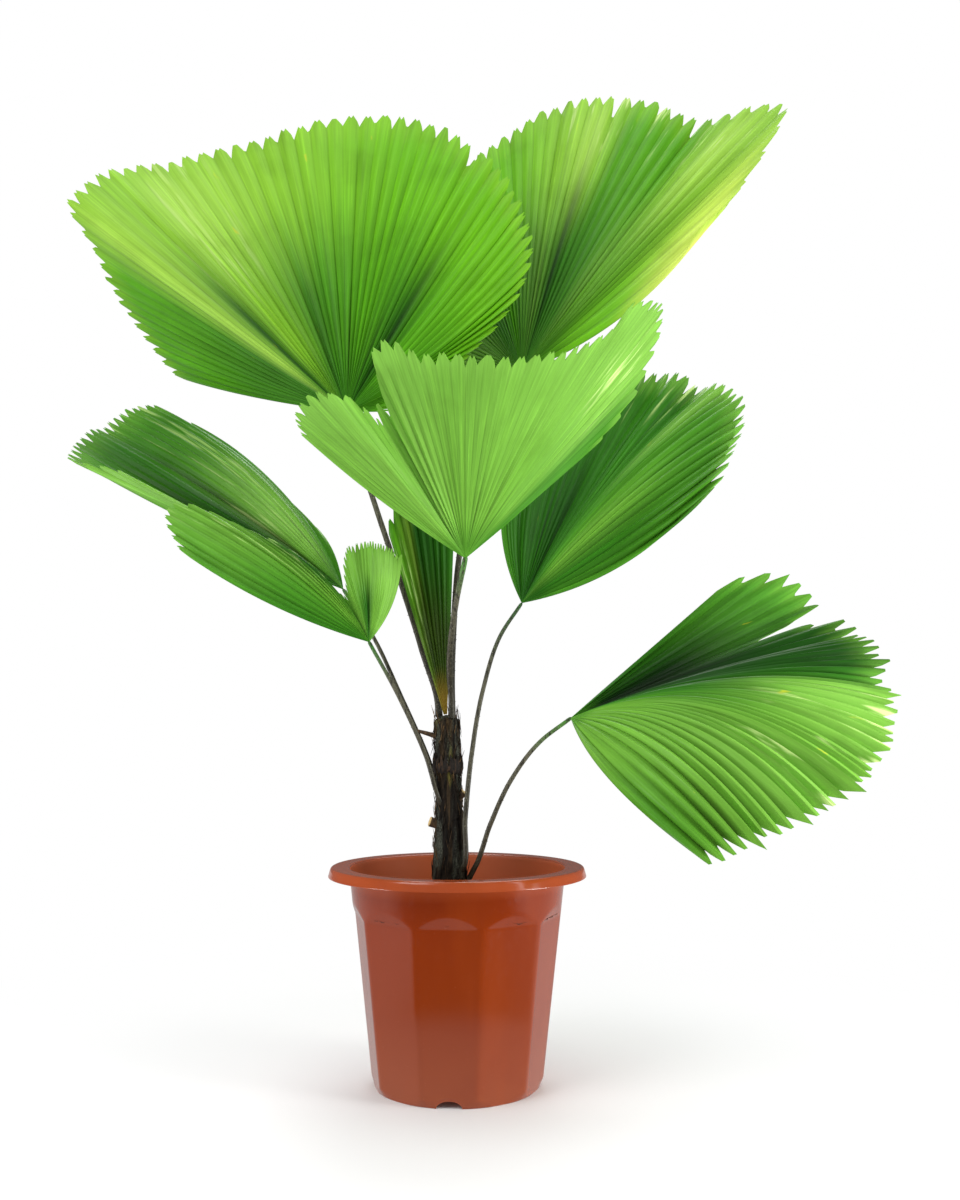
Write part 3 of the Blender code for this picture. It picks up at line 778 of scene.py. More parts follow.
def fibre_finish():
    paint = Finish("trunk_fibre", roughness=0.8, Specular_IOR_Level=0.15)
    colour = paint.ramp(paint.value("shade"), ((0.0, tint(14, 11, 8)), (0.6, tint(42, 32, 22)),
                                               (0.9, tint(112, 86, 54))))
    streak = paint.noise(paint.object_places((500.0, 500.0, 60.0)), 1.0, 3.0)
    colour = paint.patch(colour, streak, 0.4, 0.7, tint(24, 17, 11))
    return paint.finish(colour, paint.scaled(streak, 0.3, 0.6),
                        paint.bump(streak, 0.4, 0.0005))


# ---- sheath and old stalks ----

def build_sheath():
    """A torn sleeve of brown fibre round the top of the trunk."""
    low, high, thick = 0.148, 0.182, 0.0024
    rows = 26

    def place(turn, along):
        row = np.round(along * rows).astype(int)
        circle = np.stack([np.cos(turn), np.sin(turn)], axis=1)
        tear = 0.5 + 0.5 * bumps(np.column_stack([circle, 0 * turn]), 0.16, 4.0)
        top = low + (high - low) * (0.30 + 0.70 * tear)
        bottom = low + (high - low) * 0.22 * (1.0 - tear)
        loop = row % rows
        outer = loop <= rows // 2
        share = np.where(outer, loop / (rows // 2), 2 - loop / (rows // 2))
        height = bottom + (top - bottom) * share
        x, y, trunk = trunk_at(height)
        cover = thick * (0.25 + 0.75 * np.sin(math.pi * share))
        out = trunk + 0.0004 + np.where(outer, cover, 0.0)
        points = np.stack([x + out * circle[:, 0], y + out * circle[:, 1], height], axis=1)
        weave = bumps(np.column_stack([circle * 3, height * 60]), 0.35, 2.0)
        points[:, :2] += circle * (0.0009 * weave * outer)[:, None]
        points[:, 2] += SOIL_TOP
        return points

    sheath = skinned("fibre_sheath", 120, rows, place)
    smooth_by_angle(sheath, 60)
    paint = Finish("sheath_fibre", roughness=0.85, Specular_IOR_Level=0.3)
    strands = paint.noise(paint.object_places((420.0, 420.0, 40.0)), 1.0, 4.0, 0.6)
    across = paint.noise(paint.object_places((70.0, 70.0, 700.0)), 1.0, 2.0)
    colour = paint.ramp(strands, ((0.34, tint(10, 8, 5)), (0.54, tint(28, 19, 11)),
                                  (0.70, tint(74, 50, 28))))
    colour = paint.patch(colour, across, 0.52, 0.70, tint(30, 21, 12))
    sheath.data.materials.append(paint.finish(
        colour, paint.scaled(strands, 0.25, 0.65),
        paint.bump(strands, 0.7, 0.0010, paint.bump(across, 0.3, 0.0006))))
    return sheath


OLD_STALKS = (               # name, node, end, height of its foot, radii
    ("stub_left", "old_stub_left", (-0.0350, -0.0060, 0.097), 0.088, (0.0070, 0.0055)),
    ("stub_right", "old_stub_right", (0.0100, -0.0060, 0.132), 0.112, (0.0060, 0.0040)),
    ("dry_spine", "old_spine", (-0.0560, -0.0080, 0.204), 0.191, (0.0040, 0.0012)),
)


def build_old_stalks():
    """What is left of cut stalks: ragged husks with a paler cut end."""
    made = []
    for seed, (name, node, end, foot, (thick, thin)) in enumerate(OLD_STALKS):
        x, y, _ = trunk_at(foot)
        rows = 40
        route = smooth_route(((x, y, foot, thick), (*end, thin)), rows + 1)
        side, front = route_frames(route)

        def place(turn, along, route=route, side=side, front=front, seed=seed):
            row = np.round(along * rows).astype(int)
            circle = ring_directions(turn, row, side, front)
            grain = bumps(np.stack([np.cos(turn), np.sin(turn), along * 1.2], axis=1), 0.55, seed)
            radius = route[row, 3] * (1 + 0.16 * grain)
            last = row > rows - 5
            radius = np.where(last, radius * (rows - row) / 4.0, radius)
            radius = np.where(row == 0, 0.0, radius)
            centre = route[np.minimum(row, rows - 4), :3]
            points = centre + circle * radius[:, None]
            points += 0.0005 * bumps(points, 0.003, seed + 4.0)[:, None] * last[:, None]
            points[:, 2] += SOIL_TOP
            return points

        stub = skinned(name, 36, rows, place)
        smooth_by_angle(stub, 50)
        paint = Finish(f"{name}_husk", roughness=0.85, Specular_IOR_Level=0.3)
        grain = paint.noise(paint.object_places((300.0, 300.0, 120.0)), 1.0, 4.0, 0.6)
        colour = paint.ramp(grain, ((0.3, tint(30, 24, 18)), (0.55, tint(78, 60, 40)),
                                    (0.75, tint(120, 94, 62))))
        cut = paint.mask(paint.value("along"), 0.86, 0.93)
        colour = paint.mix(paint.times(cut, 0.8), colour, tint(206, 178, 122))
        stub.data.materials.append(paint.finish(
            colour, paint.scaled(grain, 0.25, 0.65),
            paint.bump(grain, 0.5, 0.0008)))
        made.append((stub, node))
    return made


# ---- leaves ----
# hub: where the ribs meet. facing: the side that the ribs bow towards.
# A rib is (turn, lean, length, rise, swing): turn goes from +Z towards +X and lean from upright
# towards the front. rise bows the rib to the facing side and swing bows it clockwise, each as a
# share of its length. stalk: points between the stalk's foot and the hub.
# pleats and tooth: how many folds reach the margin, and how deep their teeth are cut.
# steep: a fold's slope at the hub and at the margin. waves: how far the margin ruffles.
# splits: (across, width, depth) of deep cuts in the margin.

LEAVES = {
    "high_left": dict(
        hub=(-0.141, 0.050, 0.600), facing=(0, -1, 0.3),
        ribs=((-69, -34, 0.33, 0, -0.02), (-62, -20, 0.38, 0, -0.02), (-57, -8, 0.40, 0, 0),
              (-53, 2, 0.44, 0, 0), (-45, -4, 0.46, 0, 0), (-35, -12, 0.465, 0.02, 0),
              (-19, -16, 0.465, 0.03, 0), (-4, -17, 0.48, 0.03, 0), (9, -15, 0.47, 0.03, 0),
              (23, -10, 0.42, 0.03, 0), (38, -4, 0.355, 0.03, 0.03), (52, 2, 0.285, 0.04, 0.06),
              (63, 6, 0.195, 0.04, 0.04), (76, 9, 0.09, 0.02, 0), (92, 10, 0.052, 0, 0)),
        stalk=((-0.0225, 0.005, TRUNK_TOP), (-0.044, 0.012, 0.300), (-0.080, 0.022, 0.410),
               (-0.117, 0.036, 0.520)),
        thickness=(0.0042, 0.0030), pleats=66, tooth=0.019, steep=(1.5, 0.09), waves=0.0040,
        splits=((0.625, 0.010, 0.022),)),
    "high_right": dict(
        hub=(0.082, 0.120, 0.673), facing=(0, -1, 0.3),
        ribs=((-70, -45, 0.22, 0, -0.05), (-40, -38, 0.34, 0, 0), (-16, -30, 0.42, 0.02, 0),
              (-3, -26, 0.475, 0.02, 0), (9, -21, 0.515, 0.03, 0), (20, -18, 0.52, 0.03, 0),
              (33, -14, 0.51, 0.03, 0), (44, -6, 0.54, 0, 0), (48, -2, 0.425, 0, 0.01),
              (51, 2, 0.31, 0.03, 0.10)),
        stalk=((-0.0070, 0.0085, TRUNK_TOP), (-0.006, 0.024, 0.320), (0.004, 0.048, 0.440),
               (0.034, 0.082, 0.560)),
        thickness=(0.0042, 0.0030), pleats=48, tooth=0.019, steep=(1.4, 0.11), waves=0.0045,
        splits=((0.665, 0.008, 0.035), (0.79, 0.008, 0.025))),
    "front": dict(
        hub=(0.010, -0.100, 0.393), facing=(0, 0.7, 0.7),
        ribs=((-57, 24, 0.22, -0.03, 0), (-53, 34, 0.25, 0, 0), (-44, 46, 0.265, 0, 0),
              (-34, 37, 0.195, 0, 0), (-27, 42, 0.265, 0, 0), (-12, 50, 0.265, 0.03, 0),
              (2, 54, 0.27, 0.03, 0), (18, 52, 0.275, 0.03, 0), (32, 42, 0.28, 0.02, 0),
              (36, 22, 0.325, 0, 0), (39, 6, 0.345, 0, 0), (44, -6, 0.295, 0, 0),
              (47, -16, 0.20, 0, 0)),
        stalk=((-0.0070, -0.0085, TRUNK_TOP), (-0.009, -0.030, 0.280), (-0.002, -0.068, 0.340)),
        thickness=(0.0042, 0.0030), pleats=46, tooth=0.013, steep=(1.1, 0.11), waves=0.0030,
        splits=((0.27, 0.012, 0.05),)),
    "right": dict(
        hub=(0.077, 0.020, 0.355), facing=(-0.4, -0.6, 0.7),
        ribs=((-4, -10, 0.20, 0, -0.10), (8, -18, 0.29, 0, -0.04), (18, -21, 0.36, 0, 0),
              (28, -20, 0.395, 0, 0), (37, -17, 0.40, 0.03, 0), (46, -8, 0.39, 0.06, 0),
              (53, 0, 0.33, 0.04, 0.03), (60, 8, 0.255, 0, 0.15)),
        stalk=((0.0040, -0.0120, 0.040), (0.009, -0.014, 0.100), (0.016, -0.010, 0.170),
               (0.030, 0.000, 0.250), (0.051, 0.012, 0.315)),
        thickness=(0.0034, 0.0022), pleats=36, tooth=0.020, steep=(1.2, 0.16), waves=0.0040,
        splits=()),
    "low_right": dict(
        hub=(0.130, -0.050, 0.216), facing=(0, -0.5, 0.9),
        ribs=((51, -28, 0.32, 0, 0), (57, -29, 0.395, 0, 0), (66, -27, 0.415, 0, 0),
              (73, -17, 0.40, 0.02, 0), (80, -5, 0.375, 0.06, 0), (87, 5, 0.355, 0.10, 0),
              (95, 14, 0.34, 0.14, 0), (104, 24, 0.32, 0.17, 0), (114, 33, 0.29, 0.18, 0),
              (127, 40, 0.27, 0.16, 0.04), (141, 42, 0.245, 0.06, 0.12)),
        stalk=((0.0060, -0.0020, 0.022), (0.020, -0.008, 0.043), (0.038, -0.020, 0.093),
               (0.062, -0.032, 0.145), (0.094, -0.043, 0.188)),
        thickness=(0.0034, 0.0022), pleats=44, tooth=0.032, steep=(1.1, 0.20), waves=0.0035,
        splits=((0.155, 0.035, 0.13),)),
    "left_upper": dict(
        hub=(-0.141, 0.030, 0.373), facing=(0.5, 0, 0.8),
        ribs=((-62, -2, 0.30, 0, 0), (-64, -7, 0.39, 0, 0), (-63, -12, 0.42, -0.02, 0),
              (-59, -16, 0.44, 0, 0), (-53, -22, 0.455, 0.04, 0), (-48, -26, 0.47, 0.06, 0),
              (-44, -32, 0.45, 0.06, 0.01), (-39, -42, 0.32, 0.05, 0),
              (-28, -50, 0.15, 0.05, 0)),
        stalk=((-0.0150, 0.0060, 0.120), (-0.040, 0.014, 0.180), (-0.070, 0.024, 0.245),
               (-0.101, 0.029, 0.310)),
        thickness=(0.0030, 0.0022), pleats=40, tooth=0.018, steep=(1.1, 0.20), waves=0.0030,
        splits=()),
    "left_lower": dict(
        hub=(-0.104, -0.020, 0.305), facing=(0.3, -0.6, 0.6),
        ribs=((-65, 8, 0.235, 0, -0.06), (-60, 5, 0.27, 0.02, -0.03), (-55, 2, 0.28, 0.05, 0),
              (-47, 0, 0.20, 0.08, 0), (-38, 1, 0.10, 0.08, 0), (-28, 2, 0.06, 0, 0),
              (-15, 8, 0.105, 0, 0), (2, 16, 0.115, 0, 0.02), (24, 30, 0.115, 0, 0.08)),
        stalk=((-0.0150, -0.0060, 0.110), (-0.038, -0.014, 0.175), (-0.068, -0.020, 0.240)),
        thickness=(0.0030, 0.0022), pleats=44, tooth=0.009, steep=(1.1, 0.20), waves=0.0020,
        splits=()),
}
SPEAR = dict(
    hub=(-0.0130, 0.000, 0.20885), facing=(0, -1, 0), start=0.012,
    ribs=((-17, 3, 0.245, 0, 0), (-12, 2, 0.27, 0, 0), (-6, 2, 0.28, 0, 0), (2, 3, 0.25, 0, 0)),
    pleats=9, tooth=0.012, steep=(0.9, 0.9), waves=0.0, splits=())

# How each leaf is coloured. near and far: colours from its first rib to its last, close to the
# hub and close to the margin, partly the leaf's own greens and partly painted light and shade:
# pale where a fold faces the light, dark where it turns away or lies in shadow. hub and margin:
# what tints those two ends, and deep: how far out the hub's tint goes. streaks_and_highlights:
# (from, to, start, strength) of pale lines, partly the leaf's own pale marks and partly a painted
# highlight on the pleats. crease_shadows: (across, width, reach) of painted shadow in the folds at
# the hub. level: brightness of the whole leaf. under: its back. spots: how strong its yellow and
# brown marks are. shine: its roughness.
GREENS = {
    "black": tint(20, 50, 20), "deep": tint(30, 80, 20), "dark": tint(50, 110, 30),
    "mid": tint(70, 130, 40), "leaf": tint(90, 160, 30), "bright": tint(110, 180, 30),
    "fresh": tint(140, 190, 60), "pale": tint(170, 210, 100), "cream": tint(240, 250, 140),
    "grey": tint(110, 160, 70), "silver": tint(130, 180, 90), "olive": tint(90, 120, 40),
    "moss": tint(50, 70, 20), "straw": tint(150, 110, 40)}


def greens(*stops):
    return tuple((share, GREENS[name]) for share, name in stops)


LOOKS = {
    "high_left": dict(
        near=greens((0.0, "mid"), (0.15, "mid"), (0.2, "pale"), (0.25, "dark"), (0.3, "fresh"),
                    (0.4, "mid"), (0.55, "leaf"), (0.65, "dark"), (0.7, "leaf"), (1.0, "mid")),
        far=greens((0.0, "leaf"), (0.15, "leaf"), (0.2, "pale"), (0.25, "fresh"), (0.3, "pale"),
                   (0.4, "fresh"), (0.55, "bright"), (0.75, "bright"), (1.0, "leaf")),
        hub=GREENS["dark"], deep=0.22, margin=GREENS["fresh"], streaks_and_highlights=(0.25, 0.35, 0.3, 0.3),
        crease_shadows=((0.25, 0.01, 0.7), (0.4, 0.01, 0.5), (0.5, 0.01, 0.5), (0.6, 0.01, 0.5),
                 (0.65, 0.015, 0.8)),
        level=0.8, under=GREENS["grey"], spots=0.3, shine=0.46),
    "high_right": dict(
        near=greens((0.0, "silver"), (0.25, "grey"), (0.35, "mid"), (0.45, "leaf"),
                    (0.6, "grey"), (0.65, "dark"), (0.75, "mid"), (0.8, "grey"), (1.0, "bright")),
        far=greens((0.0, "pale"), (0.35, "bright"), (0.5, "bright"), (0.6, "fresh"),
                   (0.65, "pale"), (0.7, "leaf"), (0.8, "leaf"), (0.85, "pale"), (0.9, "fresh"),
                   (1.0, "cream")),
        hub=GREENS["mid"], deep=0.2, margin=GREENS["fresh"], streaks_and_highlights=(0.6, 0.9, 0.7, 0.8),
        crease_shadows=((0.4, 0.01, 0.5), (0.5, 0.01, 0.5), (0.6, 0.01, 0.5), (0.65, 0.02, 1.0)),
        level=0.8, under=GREENS["grey"], spots=0.1, shine=0.46),
    "front": dict(
        near=greens((0.0, "grey"), (0.3, "silver"), (0.4, "grey"), (0.9, "grey"), (0.95, "mid")),
        far=greens((0.0, "grey"), (0.3, "silver"), (0.4, "grey"), (0.9, "silver"),
                   (0.95, "mid")),
        hub=GREENS["mid"], deep=0.2, margin=GREENS["silver"], streaks_and_highlights=(0.8, 0.9, 0.5, 0.8),
        crease_shadows=((0.35, 0.01, 0.6), (0.5, 0.01, 0.4), (0.6, 0.01, 0.4), (0.75, 0.01, 0.4)),
        level=1.0, under=GREENS["leaf"], spots=0.0, shine=0.58),
    "right": dict(
        near=greens((0.0, "mid"), (0.1, "dark"), (0.4, "deep"), (0.5, "dark"), (0.7, "mid"),
                    (0.8, "grey"), (0.9, "dark"), (1.0, "mid")),
        far=greens((0.0, "mid"), (0.25, "dark"), (0.6, "dark"), (0.65, "grey"), (0.7, "mid"),
                   (1.0, "mid")),
        hub=GREENS["deep"], deep=0.15, margin=GREENS["silver"], streaks_and_highlights=(0.1, 0.6, 0.7, 0.7),
        crease_shadows=((0.15, 0.015, 0.6), (0.3, 0.01, 0.6), (0.4, 0.02, 0.8), (0.55, 0.01, 0.5)),
        level=1.0, under=GREENS["mid"], spots=0.05, shine=0.36),
    "low_right": dict(
        near=greens((0.0, "dark"), (0.1, "black"), (0.2, "black"), (0.35, "deep"),
                    (0.5, "dark"), (0.6, "mid"), (0.7, "grey"), (1.0, "grey")),
        far=greens((0.0, "mid"), (0.1, "mid"), (0.2, "deep"), (0.35, "deep"), (0.4, "dark"),
                   (0.45, "silver"), (0.55, "silver"), (0.65, "grey"), (0.75, "silver"),
                   (0.9, "grey"), (1.0, "mid")),
        hub=GREENS["mid"], deep=0.1, margin=GREENS["grey"], streaks_and_highlights=(0.45, 0.75, 0.5, 1.0),
        crease_shadows=((0.15, 0.04, 0.8), (0.2, 0.03, 0.8), (0.35, 0.015, 0.6)),
        level=1.0, under=GREENS["mid"], spots=0.35, shine=0.38),
    "left_upper": dict(
        near=greens((0.0, "mid"), (0.2, "mid"), (0.3, "deep"), (0.4, "grey"), (0.45, "silver"),
                    (0.55, "grey"), (0.7, "mid")),
        far=greens((0.0, "silver"), (0.1, "grey"), (0.2, "mid"), (0.3, "dark"), (0.4, "mid"),
                   (0.7, "mid"), (1.0, "grey")),
        hub=GREENS["dark"], deep=0.15, margin=GREENS["grey"], streaks_and_highlights=(0.35, 0.6, 0.1, 0.4),
        crease_shadows=((0.25, 0.06, 1.4), (0.35, 0.03, 1.2), (0.5, 0.015, 0.4), (0.6, 0.02, 0.5)),
        level=0.95, under=GREENS["mid"], spots=0.0, shine=0.38),
    "left_lower": dict(
        near=greens((0.0, "dark"), (0.1, "mid"), (0.2, "grey"), (0.35, "dark"), (0.5, "grey"),
                    (0.65, "dark"), (0.7, "deep"), (0.8, "grey"), (1.0, "silver")),
        far=greens((0.0, "mid"), (0.15, "grey"), (0.25, "deep"), (0.35, "mid"), (0.5, "grey"),
                   (0.75, "grey"), (0.85, "silver"), (1.0, "silver")),
        hub=GREENS["dark"], deep=0.15, margin=GREENS["grey"], streaks_and_highlights=(0.1, 0.3, 0.3, 0.4),
        crease_shadows=((0.3, 0.02, 1.0), (0.6, 0.01, 0.5), (0.7, 0.03, 0.8)),
        level=1.0, under=GREENS["mid"], spots=0.0, shine=0.38),
    "spear": dict(
        near=greens((0.0, "olive"), (0.25, "moss"), (1.0, "moss")),
        far=greens((0.0, "leaf"), (0.3, "olive"), (0.4, "deep"), (1.0, "dark")),
        hub=GREENS["straw"], deep=0.2, margin=GREENS["dark"], streaks_and_highlights=(0.0, 0.2, 0.2, 0.4),
        crease_shadows=(), level=0.8, under=GREENS["moss"], spots=0.0, shine=0.44),
}

FOLD_STEPS = 8               # columns of faces in one pleat
BLADE_ROWS = 34
FOLD_LIMIT = 0.0036          # the highest fold
MARGIN_REACH = 0.45          # how far a tooth passes the margin, as a share of its depth


def rib_direction(turn, lean):
    turn, lean = math.radians(turn), math.radians(lean)
    return (math.sin(turn) * math.cos(lean), -math.sin(lean), math.cos(turn) * math.cos(lean))


class Fan:
    """The smooth sheet through a leaf's ribs: s runs across it and v out from its hub."""

    def __init__(self, leaf):
        self.hub = np.array(leaf["hub"]) + (0.0, 0.0, SOIL_TOP)
        self.facing = unit(np.array(leaf["facing"], float))
        self.start = leaf.get("start") or 0.6 * leaf["thickness"][1]
        directions = np.array([rib_direction(turn, lean) for turn, lean, *_ in leaf["ribs"]])
        turns = np.arccos(np.clip((directions[1:] * directions[:-1]).sum(axis=1), -1.0, 1.0))
        places = np.concatenate([[0.0], np.cumsum(turns)])
        self.places = places / places[-1]
        self.values = np.hstack([directions, np.array([rib[2:] for rib in leaf["ribs"]], float)])

    def points(self, s, share, cut):
        """Points at `share` of the way to the margin, which lies `cut` metres further in."""
        rib = through(self.values, self.places, s)
        along = unit(rib[:, :3])
        length, rise, swing = rib[:, 3], rib[:, 4:5], rib[:, 5:6]
        up = unit(self.facing - (along @ self.facing)[:, None] * along)
        right = np.cross(along, up)
        first = self.start / length
        v = (first + (1.0 - first) * share)[:, None]
        bow = 4 * v * (1 - v) * (rise * up + swing * right)
        return self.hub + (length - share * cut)[:, None] * (v * along + bow)


def margin_cut(leaf, s, fold, luck):
    """How far in the margin lies: a tooth on each ridge, two small points on some, and splits."""
    pleats = leaf["pleats"]
    which = np.minimum((s * pleats).astype(int), pleats - 1)
    depth = leaf["tooth"] * luck.uniform(0.65, 1.25, pleats)[which]
    longer = leaf["tooth"] * (0.30 * luck.uniform(-1.0, 1.0, pleats)[which] ** 2 - MARGIN_REACH)
    forked = (luck.uniform(size=pleats) < 0.75)[which]
    off_ridge = 1.0 - fold
    blunt = 0.0 if leaf["tooth"] > 0.025 else 0.25
    cut = depth * np.maximum(off_ridge - blunt, 0.0) / (1.0 - blunt) + longer
    cut += forked * 0.26 * depth * (off_ridge < 0.13)
    for place, width, deep in leaf["splits"]:
        cut += deep * np.maximum(0.0, 1.0 - np.abs(s - place) / width) ** 1.2
    return cut


def build_blade(name, leaf, seed):
    """A round leaf folded into narrow pleats, from a flat grid."""
    columns = leaf["pleats"] * FOLD_STEPS
    deselect()
    bpy.ops.mesh.primitive_grid_add(x_subdivisions=columns, y_subdivisions=BLADE_ROWS, size=1.0)
    blade = named(name)
    flat = positions(blade.data)
    column = np.round((flat[:, 0] + 0.5) * columns).astype(int)
    row = np.round((flat[:, 1] + 0.5) * BLADE_ROWS).astype(int)
    luck = np.random.default_rng(seed)
    fan = Fan(leaf)
    s = np.arange(columns + 1) / columns
    phase = (s * leaf["pleats"]) % 1.0
    fold = 1.0 - np.abs(2.0 * phase - 1.0)       # 0 in a valley and 1 on a ridge
    cut = margin_cut(leaf, s, fold, luck)
    shares = np.linspace(0.0, 1.0, BLADE_ROWS + 1) ** 0.9
    grid = np.array([fan.points(s, share, cut) for share in shares])
    smooth = np.array([fan.points(s, share, 0.0 * cut) for share in shares])
    across = np.gradient(smooth, s, axis=1)
    normal = unit(np.cross(across, np.gradient(smooth, axis=0)))
    half_fold = np.linalg.norm(across, axis=2) / leaf["pleats"] / 2
    v = shares[:, None]
    which = np.minimum((s * leaf["pleats"]).astype(int), leaf["pleats"] - 1)
    uneven = luck.uniform(0.4, 1.4, leaf["pleats"])[which]
    steep = leaf["steep"][0] + (leaf["steep"][1] - leaf["steep"][0]) * v**0.6
    height = np.minimum(steep * half_fold * uneven, FOLD_LIMIT)
    offset = height * (fold - 0.5)
    for _ in range(5):
        beats, start, drift = luck.uniform(2.0, 11.0), luck.uniform(0, 6.3), luck.uniform(-2, 2)
        offset += leaf["waves"] / 2.2 * v**2 * np.sin(2 * math.pi * beats * s + start + drift * v)
    grid += normal * offset[:, :, None]
    put(blade.data, grid[row, column])
    shell = blade.modifiers.new("thickness", "SOLIDIFY")
    shell.thickness = BLADE_THICKNESS
    shell.offset = 0.0
    shell.material_offset = 1
    shell.material_offset_rim = 0
    bpy.ops.object.modifier_apply(modifier=shell.name)
    smooth_by_angle(blade, 40)
    return blade


def leaf_finish(name, look, pleats, back=False):
    """Ribbed green leaf skin. The piece's own map runs across the leaf and out along it."""
    paint = Finish(f"{name}_back" if back else name, Specular_IOR_Level=0.07 if back else 0.10)
    both = paint.node("SeparateXYZ", {0: paint.node("UVMap").outputs["UV"]})
    across, along = both.outputs["X"], both.outputs["Y"]
    places = paint.object_places()

    def grain(fine, far, seed):
        """Noise that runs in lines from the hub to the margin."""
        stretched = paint.node("CombineXYZ", {"X": paint.times(across, pleats * fine),
                                              "Y": paint.times(along, far), "Z": seed})
        return paint.noise(stretched.outputs[0], 1.0, 3.0, 0.6)

    def shade(amount, colour, factor):
        """Lighten or darken by a factor where amount is 1."""
        return paint.mix(amount, colour, (factor, factor, factor * 0.96, 1.0), "MULTIPLY")

    veins, bands, cloud = grain(5.0, 2.5, 0.0), grain(0.55, 1.1, 3.0), paint.noise(places, 16.0)
    fold = paint.sum("PINGPONG", paint.times(across, float(pleats)), 0.5)
    if back:
        colour = paint.mix(paint.mask(cloud, 0.35, 0.7), look["under"], tint(120, 160, 76))
    else:
        wander = paint.times(paint.sum("SUBTRACT", bands, 0.5), 0.3)
        drift = paint.sum("ADD", along, wander)
        # The near and far ramps are partly the leaf's own greens and partly painted light and
        # shade: pale bands where a fold faces the light, dark ones where it turns away or lies in
        # shadow.
        colour = paint.mix(paint.mask(drift, 0.28, 0.78), paint.ramp(across, look["near"]),
                           paint.ramp(across, look["far"]))
    colour = paint.mix(paint.times(paint.mask(along, look["deep"], 0.02), 0.7), colour,
                       look["hub"])
    colour = paint.patch(colour, along, 0.86, 1.0, look["margin"], 0.5)
    # Painted shadow: dark strips darken the folds near the hub, where shade falls.
    for place, width, reach in look["crease_shadows"]:
        away = paint.sum("ABSOLUTE", paint.sum("SUBTRACT", across, place))
        near = paint.times(paint.mask(away, width, 0.0),
                           paint.mask(along, reach, 0.2 * reach))
        colour = shade(near, colour, 0.42)
    colour = shade(paint.mask(bands, 0.50, 0.72), colour, 0.80)
    colour = shade(paint.mask(bands, 0.48, 0.28), colour, 1.22)
    colour = shade(paint.mask(cloud, 0.50, 0.75), colour, 0.88)
    colour = shade(paint.mask(veins, 0.52, 0.68), colour, 1.20)
    colour = shade(paint.mask(veins, 0.48, 0.34), colour, 0.86)
    # Painted light and shade on the pleats: darker in every valley and paler on every ridge,
    # fading towards the margin.
    fading = paint.sum("SUBTRACT", 1.0, paint.times(along, 0.72))
    colour = shade(paint.times(paint.mask(fold, 0.12, 0.0), fading), colour, 0.66)
    colour = shade(paint.times(paint.mask(fold, 0.42, 0.5), fading), colour, 1.20)
    if not back:
        # Pale lines along the pleats: partly the leaf's own pale marks and partly a painted
        # highlight on the pleat ridges.
        low, high, start, strength = look["streaks_and_highlights"]
        where = paint.times(paint.mask(across, low - 0.03, low + 0.03),
                          paint.mask(across, high + 0.03, high - 0.03))
        where = paint.times(where, paint.mask(along, start, start + 0.25))
        lines = paint.times(paint.mask(grain(1.6, 2.2, 8.0), 0.55, 0.66), strength)
        colour = paint.mix(paint.times(where, lines), colour, tint(224, 240, 192))
        marks = grain(0.9, 5.0, 21.0)
        colour = paint.patch(colour, marks, 0.70, 0.78, tint(214, 200, 60), look["spots"] * 2)
        colour = paint.patch(colour, marks, 0.765, 0.80, tint(120, 70, 24), look["spots"] * 2)
    level = look["level"]
    colour = paint.mix(1.0, colour, (0.9 * level, level, 0.6 * level, 1.0), "MULTIPLY")
    rough = paint.sum("ADD", paint.times(cloud, 0.22), paint.times(veins, 0.12))
    rough = paint.sum("ADD", rough, (0.60 if back else look["shine"]) - 0.17)
    grit = paint.noise(places, 900.0, 2.0, 0.6)
    normal = paint.bump(grit, 0.08, 0.0003, paint.bump(veins, 0.40, 0.0006))
    return paint.finish(colour, rough, normal)


def add_skins(blade, name, look, pleats):
    """The front skin and the back skin, which the blade's two sides use in that order."""
    for back in (False, True):
        blade.data.materials.append(leaf_finish(f"{name}_green", look, pleats, back))


# ---- stalks ----

def stalk_route(leaf, count):
    foot = np.array(leaf["stalk"][0])
    x, y, _ = trunk_at(foot[2] - 0.006)
    root = np.array((x, y, foot[2] - 0.006))
    if foot[2] >= TRUNK_TOP:
        root[:2] = foot[:2]
    points = [root, *leaf["stalk"], leaf["hub"]]
    radii = np.linspace(*leaf["thickness"], len(points))
    onward = unit(np.subtract(points[-1], points[-2]))
    points.append(np.add(points[-1], radii[-1] * onward))
    radii = [*radii, radii[-1]]
    return smooth_route([(*point, radius) for point, radius in zip(points, radii)], count)


def build_stalk(name, leaf, seed):
    """A slightly channelled rod with a rounded end, a little thicker where it is rooted."""
    rows = 90
    route = stalk_route(leaf, rows + 1)
    side, front = route_frames(route)

    def place(turn, along):
        row = np.round(along * rows).astype(int)
        circle = ring_directions(turn, row, side, front)
        grain = bumps(np.stack([np.cos(turn), np.sin(turn), along * 9.0], axis=1), 0.5, seed)
        channel = 1.0 - 0.12 * np.maximum(0.0, np.cos(turn - 1.6)) ** 4
        flare = 1.0 + 0.22 * np.exp(-along / 0.05)
        radius = route[row, 3] * channel * flare * (1 + 0.05 * grain)
        tip = np.clip((rows - row) / 2.0, 0.0, 1.0)
        radius *= np.sqrt(1 - (1 - tip)**2)
        radius = np.where(row == 0, 0.0, radius)
        points = route[row, :3] + circle * radius[:, None]
        points[:, 2] += SOIL_TOP
        return points

    stalk = skinned(f"{name}_stalk", 22, rows, place)
    smooth_by_angle(stalk, 60)
    return stalk, route


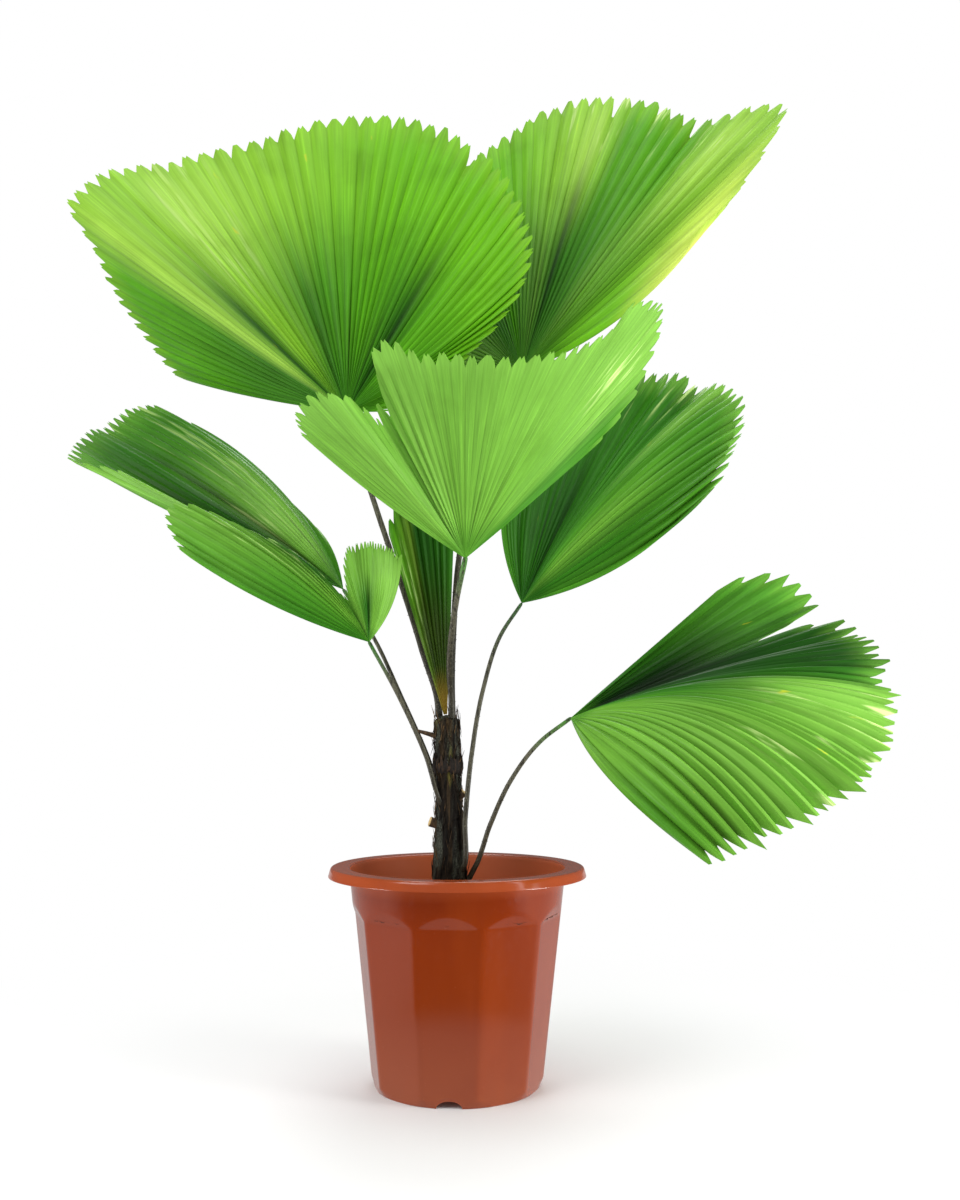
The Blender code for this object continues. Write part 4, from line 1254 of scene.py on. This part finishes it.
def build_thorns(name, route, seed):
    """Small hooked thorns along both edges of the lower stalk."""
    deselect()
    bpy.ops.mesh.primitive_cone_add(vertices=6, radius1=1.0, radius2=0.0, depth=1.0)
    thorn = named("thorn")
    shape = positions(thorn.data)
    shape[:, 2] += 0.5
    shape[:, 0] -= 0.35 * shape[:, 2]**2
    put(thorn.data, shape)
    luck = np.random.default_rng(seed)
    side, _ = route_frames(route)
    along = unit(np.gradient(route[:, :3], axis=0))
    frames, shades = [], []
    for row in np.arange(4, int(0.62 * len(route)), 1.6).astype(int):
        for way in (-1, 1):
            if luck.uniform() < 0.25:
                continue
            out = unit(way * side[row] + 0.25 * luck.normal(size=3))
            up = along[row]
            across = unit(np.cross(out, up))
            long = luck.uniform(0.0009, 0.0019) * route[row, 3] / 0.0036
            axes = np.array((up * long * 0.55, across * long * 0.30, out * long))
            centre = route[row, :3] + (0, 0, SOIL_TOP) + out * route[row, 3] * 0.86
            frames.append((centre, axes))
            shades.append(luck.uniform())
    return strewn(f"{name}_thorns", thorn, frames, np.array(shades))


def stalk_finish(name, young):
    """Grey-brown stalk skin that turns green near the leaf."""
    paint = Finish(name, roughness=0.5, Specular_IOR_Level=0.4)
    along = paint.value("along")
    streak = paint.noise(paint.object_places((420.0, 420.0, 36.0)), 1.0, 4.0, 0.6)
    grit = paint.noise(paint.object_places(), 800.0, 2.0, 0.6)
    colour = paint.ramp(along, ((0.0, tint(46, 42, 30)), (0.25, tint(58, 54, 40)),
                                (0.75, tint(86, 84, 66)), (0.97, young)))
    colour = paint.patch(colour, streak, 0.45, 0.65, tint(36, 34, 24))
    colour = paint.patch(colour, grit, 0.58, 0.70, tint(142, 140, 118), 0.6)
    rough = paint.scaled(streak, 0.3, 0.35)
    return paint.finish(colour, rough, paint.bump(streak, 0.35, 0.0005))


def thorn_finish():
    paint = Finish("thorn", roughness=0.5)
    speck = paint.noise(paint.object_places(), 700.0, 3.0)
    colour = paint.ramp(paint.value("shade"), ((0.0, tint(26, 22, 16)), (0.9, tint(84, 70, 48))))
    colour = paint.patch(colour, speck, 0.4, 0.7, tint(48, 40, 28))
    return paint.finish(colour, paint.scaled(speck, 0.3, 0.35),
                        paint.bump(speck, 0.3, 0.0003))


# ---- making everything ----

def settle(piece, node):
    """Hand a finished piece to the frame in place of a node."""
    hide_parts(node)
    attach(piece, "root")


settle(build_pot(), "pot")
settle(build_mix(), "potting_mix")
settle(build_chips(), "potting_mix")
settle(build_trunk(), "trunk")
settle(build_fibres(), "trunk")
settle(build_sheath(), "sheath_fibre")
for old_piece, old_node in build_old_stalks():
    settle(old_piece, old_node)

thorns = thorn_finish()
for number, (name, leaf) in enumerate(LEAVES.items()):
    skin = stalk_finish(f"{name}_stalk_skin", LOOKS[name]["hub"])
    stalk, route = build_stalk(name, leaf, number)
    stalk.data.materials.append(skin)
    settle(stalk, f"stalk_{name}")
    spines = build_thorns(name, route, 40 + number)
    spines.data.materials.append(thorns)
    settle(spines, f"stalk_{name}")
    blade = build_blade(f"{name}_blade", leaf, 70 + number)
    add_skins(blade, name, LOOKS[name], leaf["pleats"])
    settle(blade, f"leaf_{name}")

spear = build_blade("spear_blade", SPEAR, 90)
add_skins(spear, "spear", LOOKS["spear"], SPEAR["pleats"])
settle(spear, "spear_leaf")
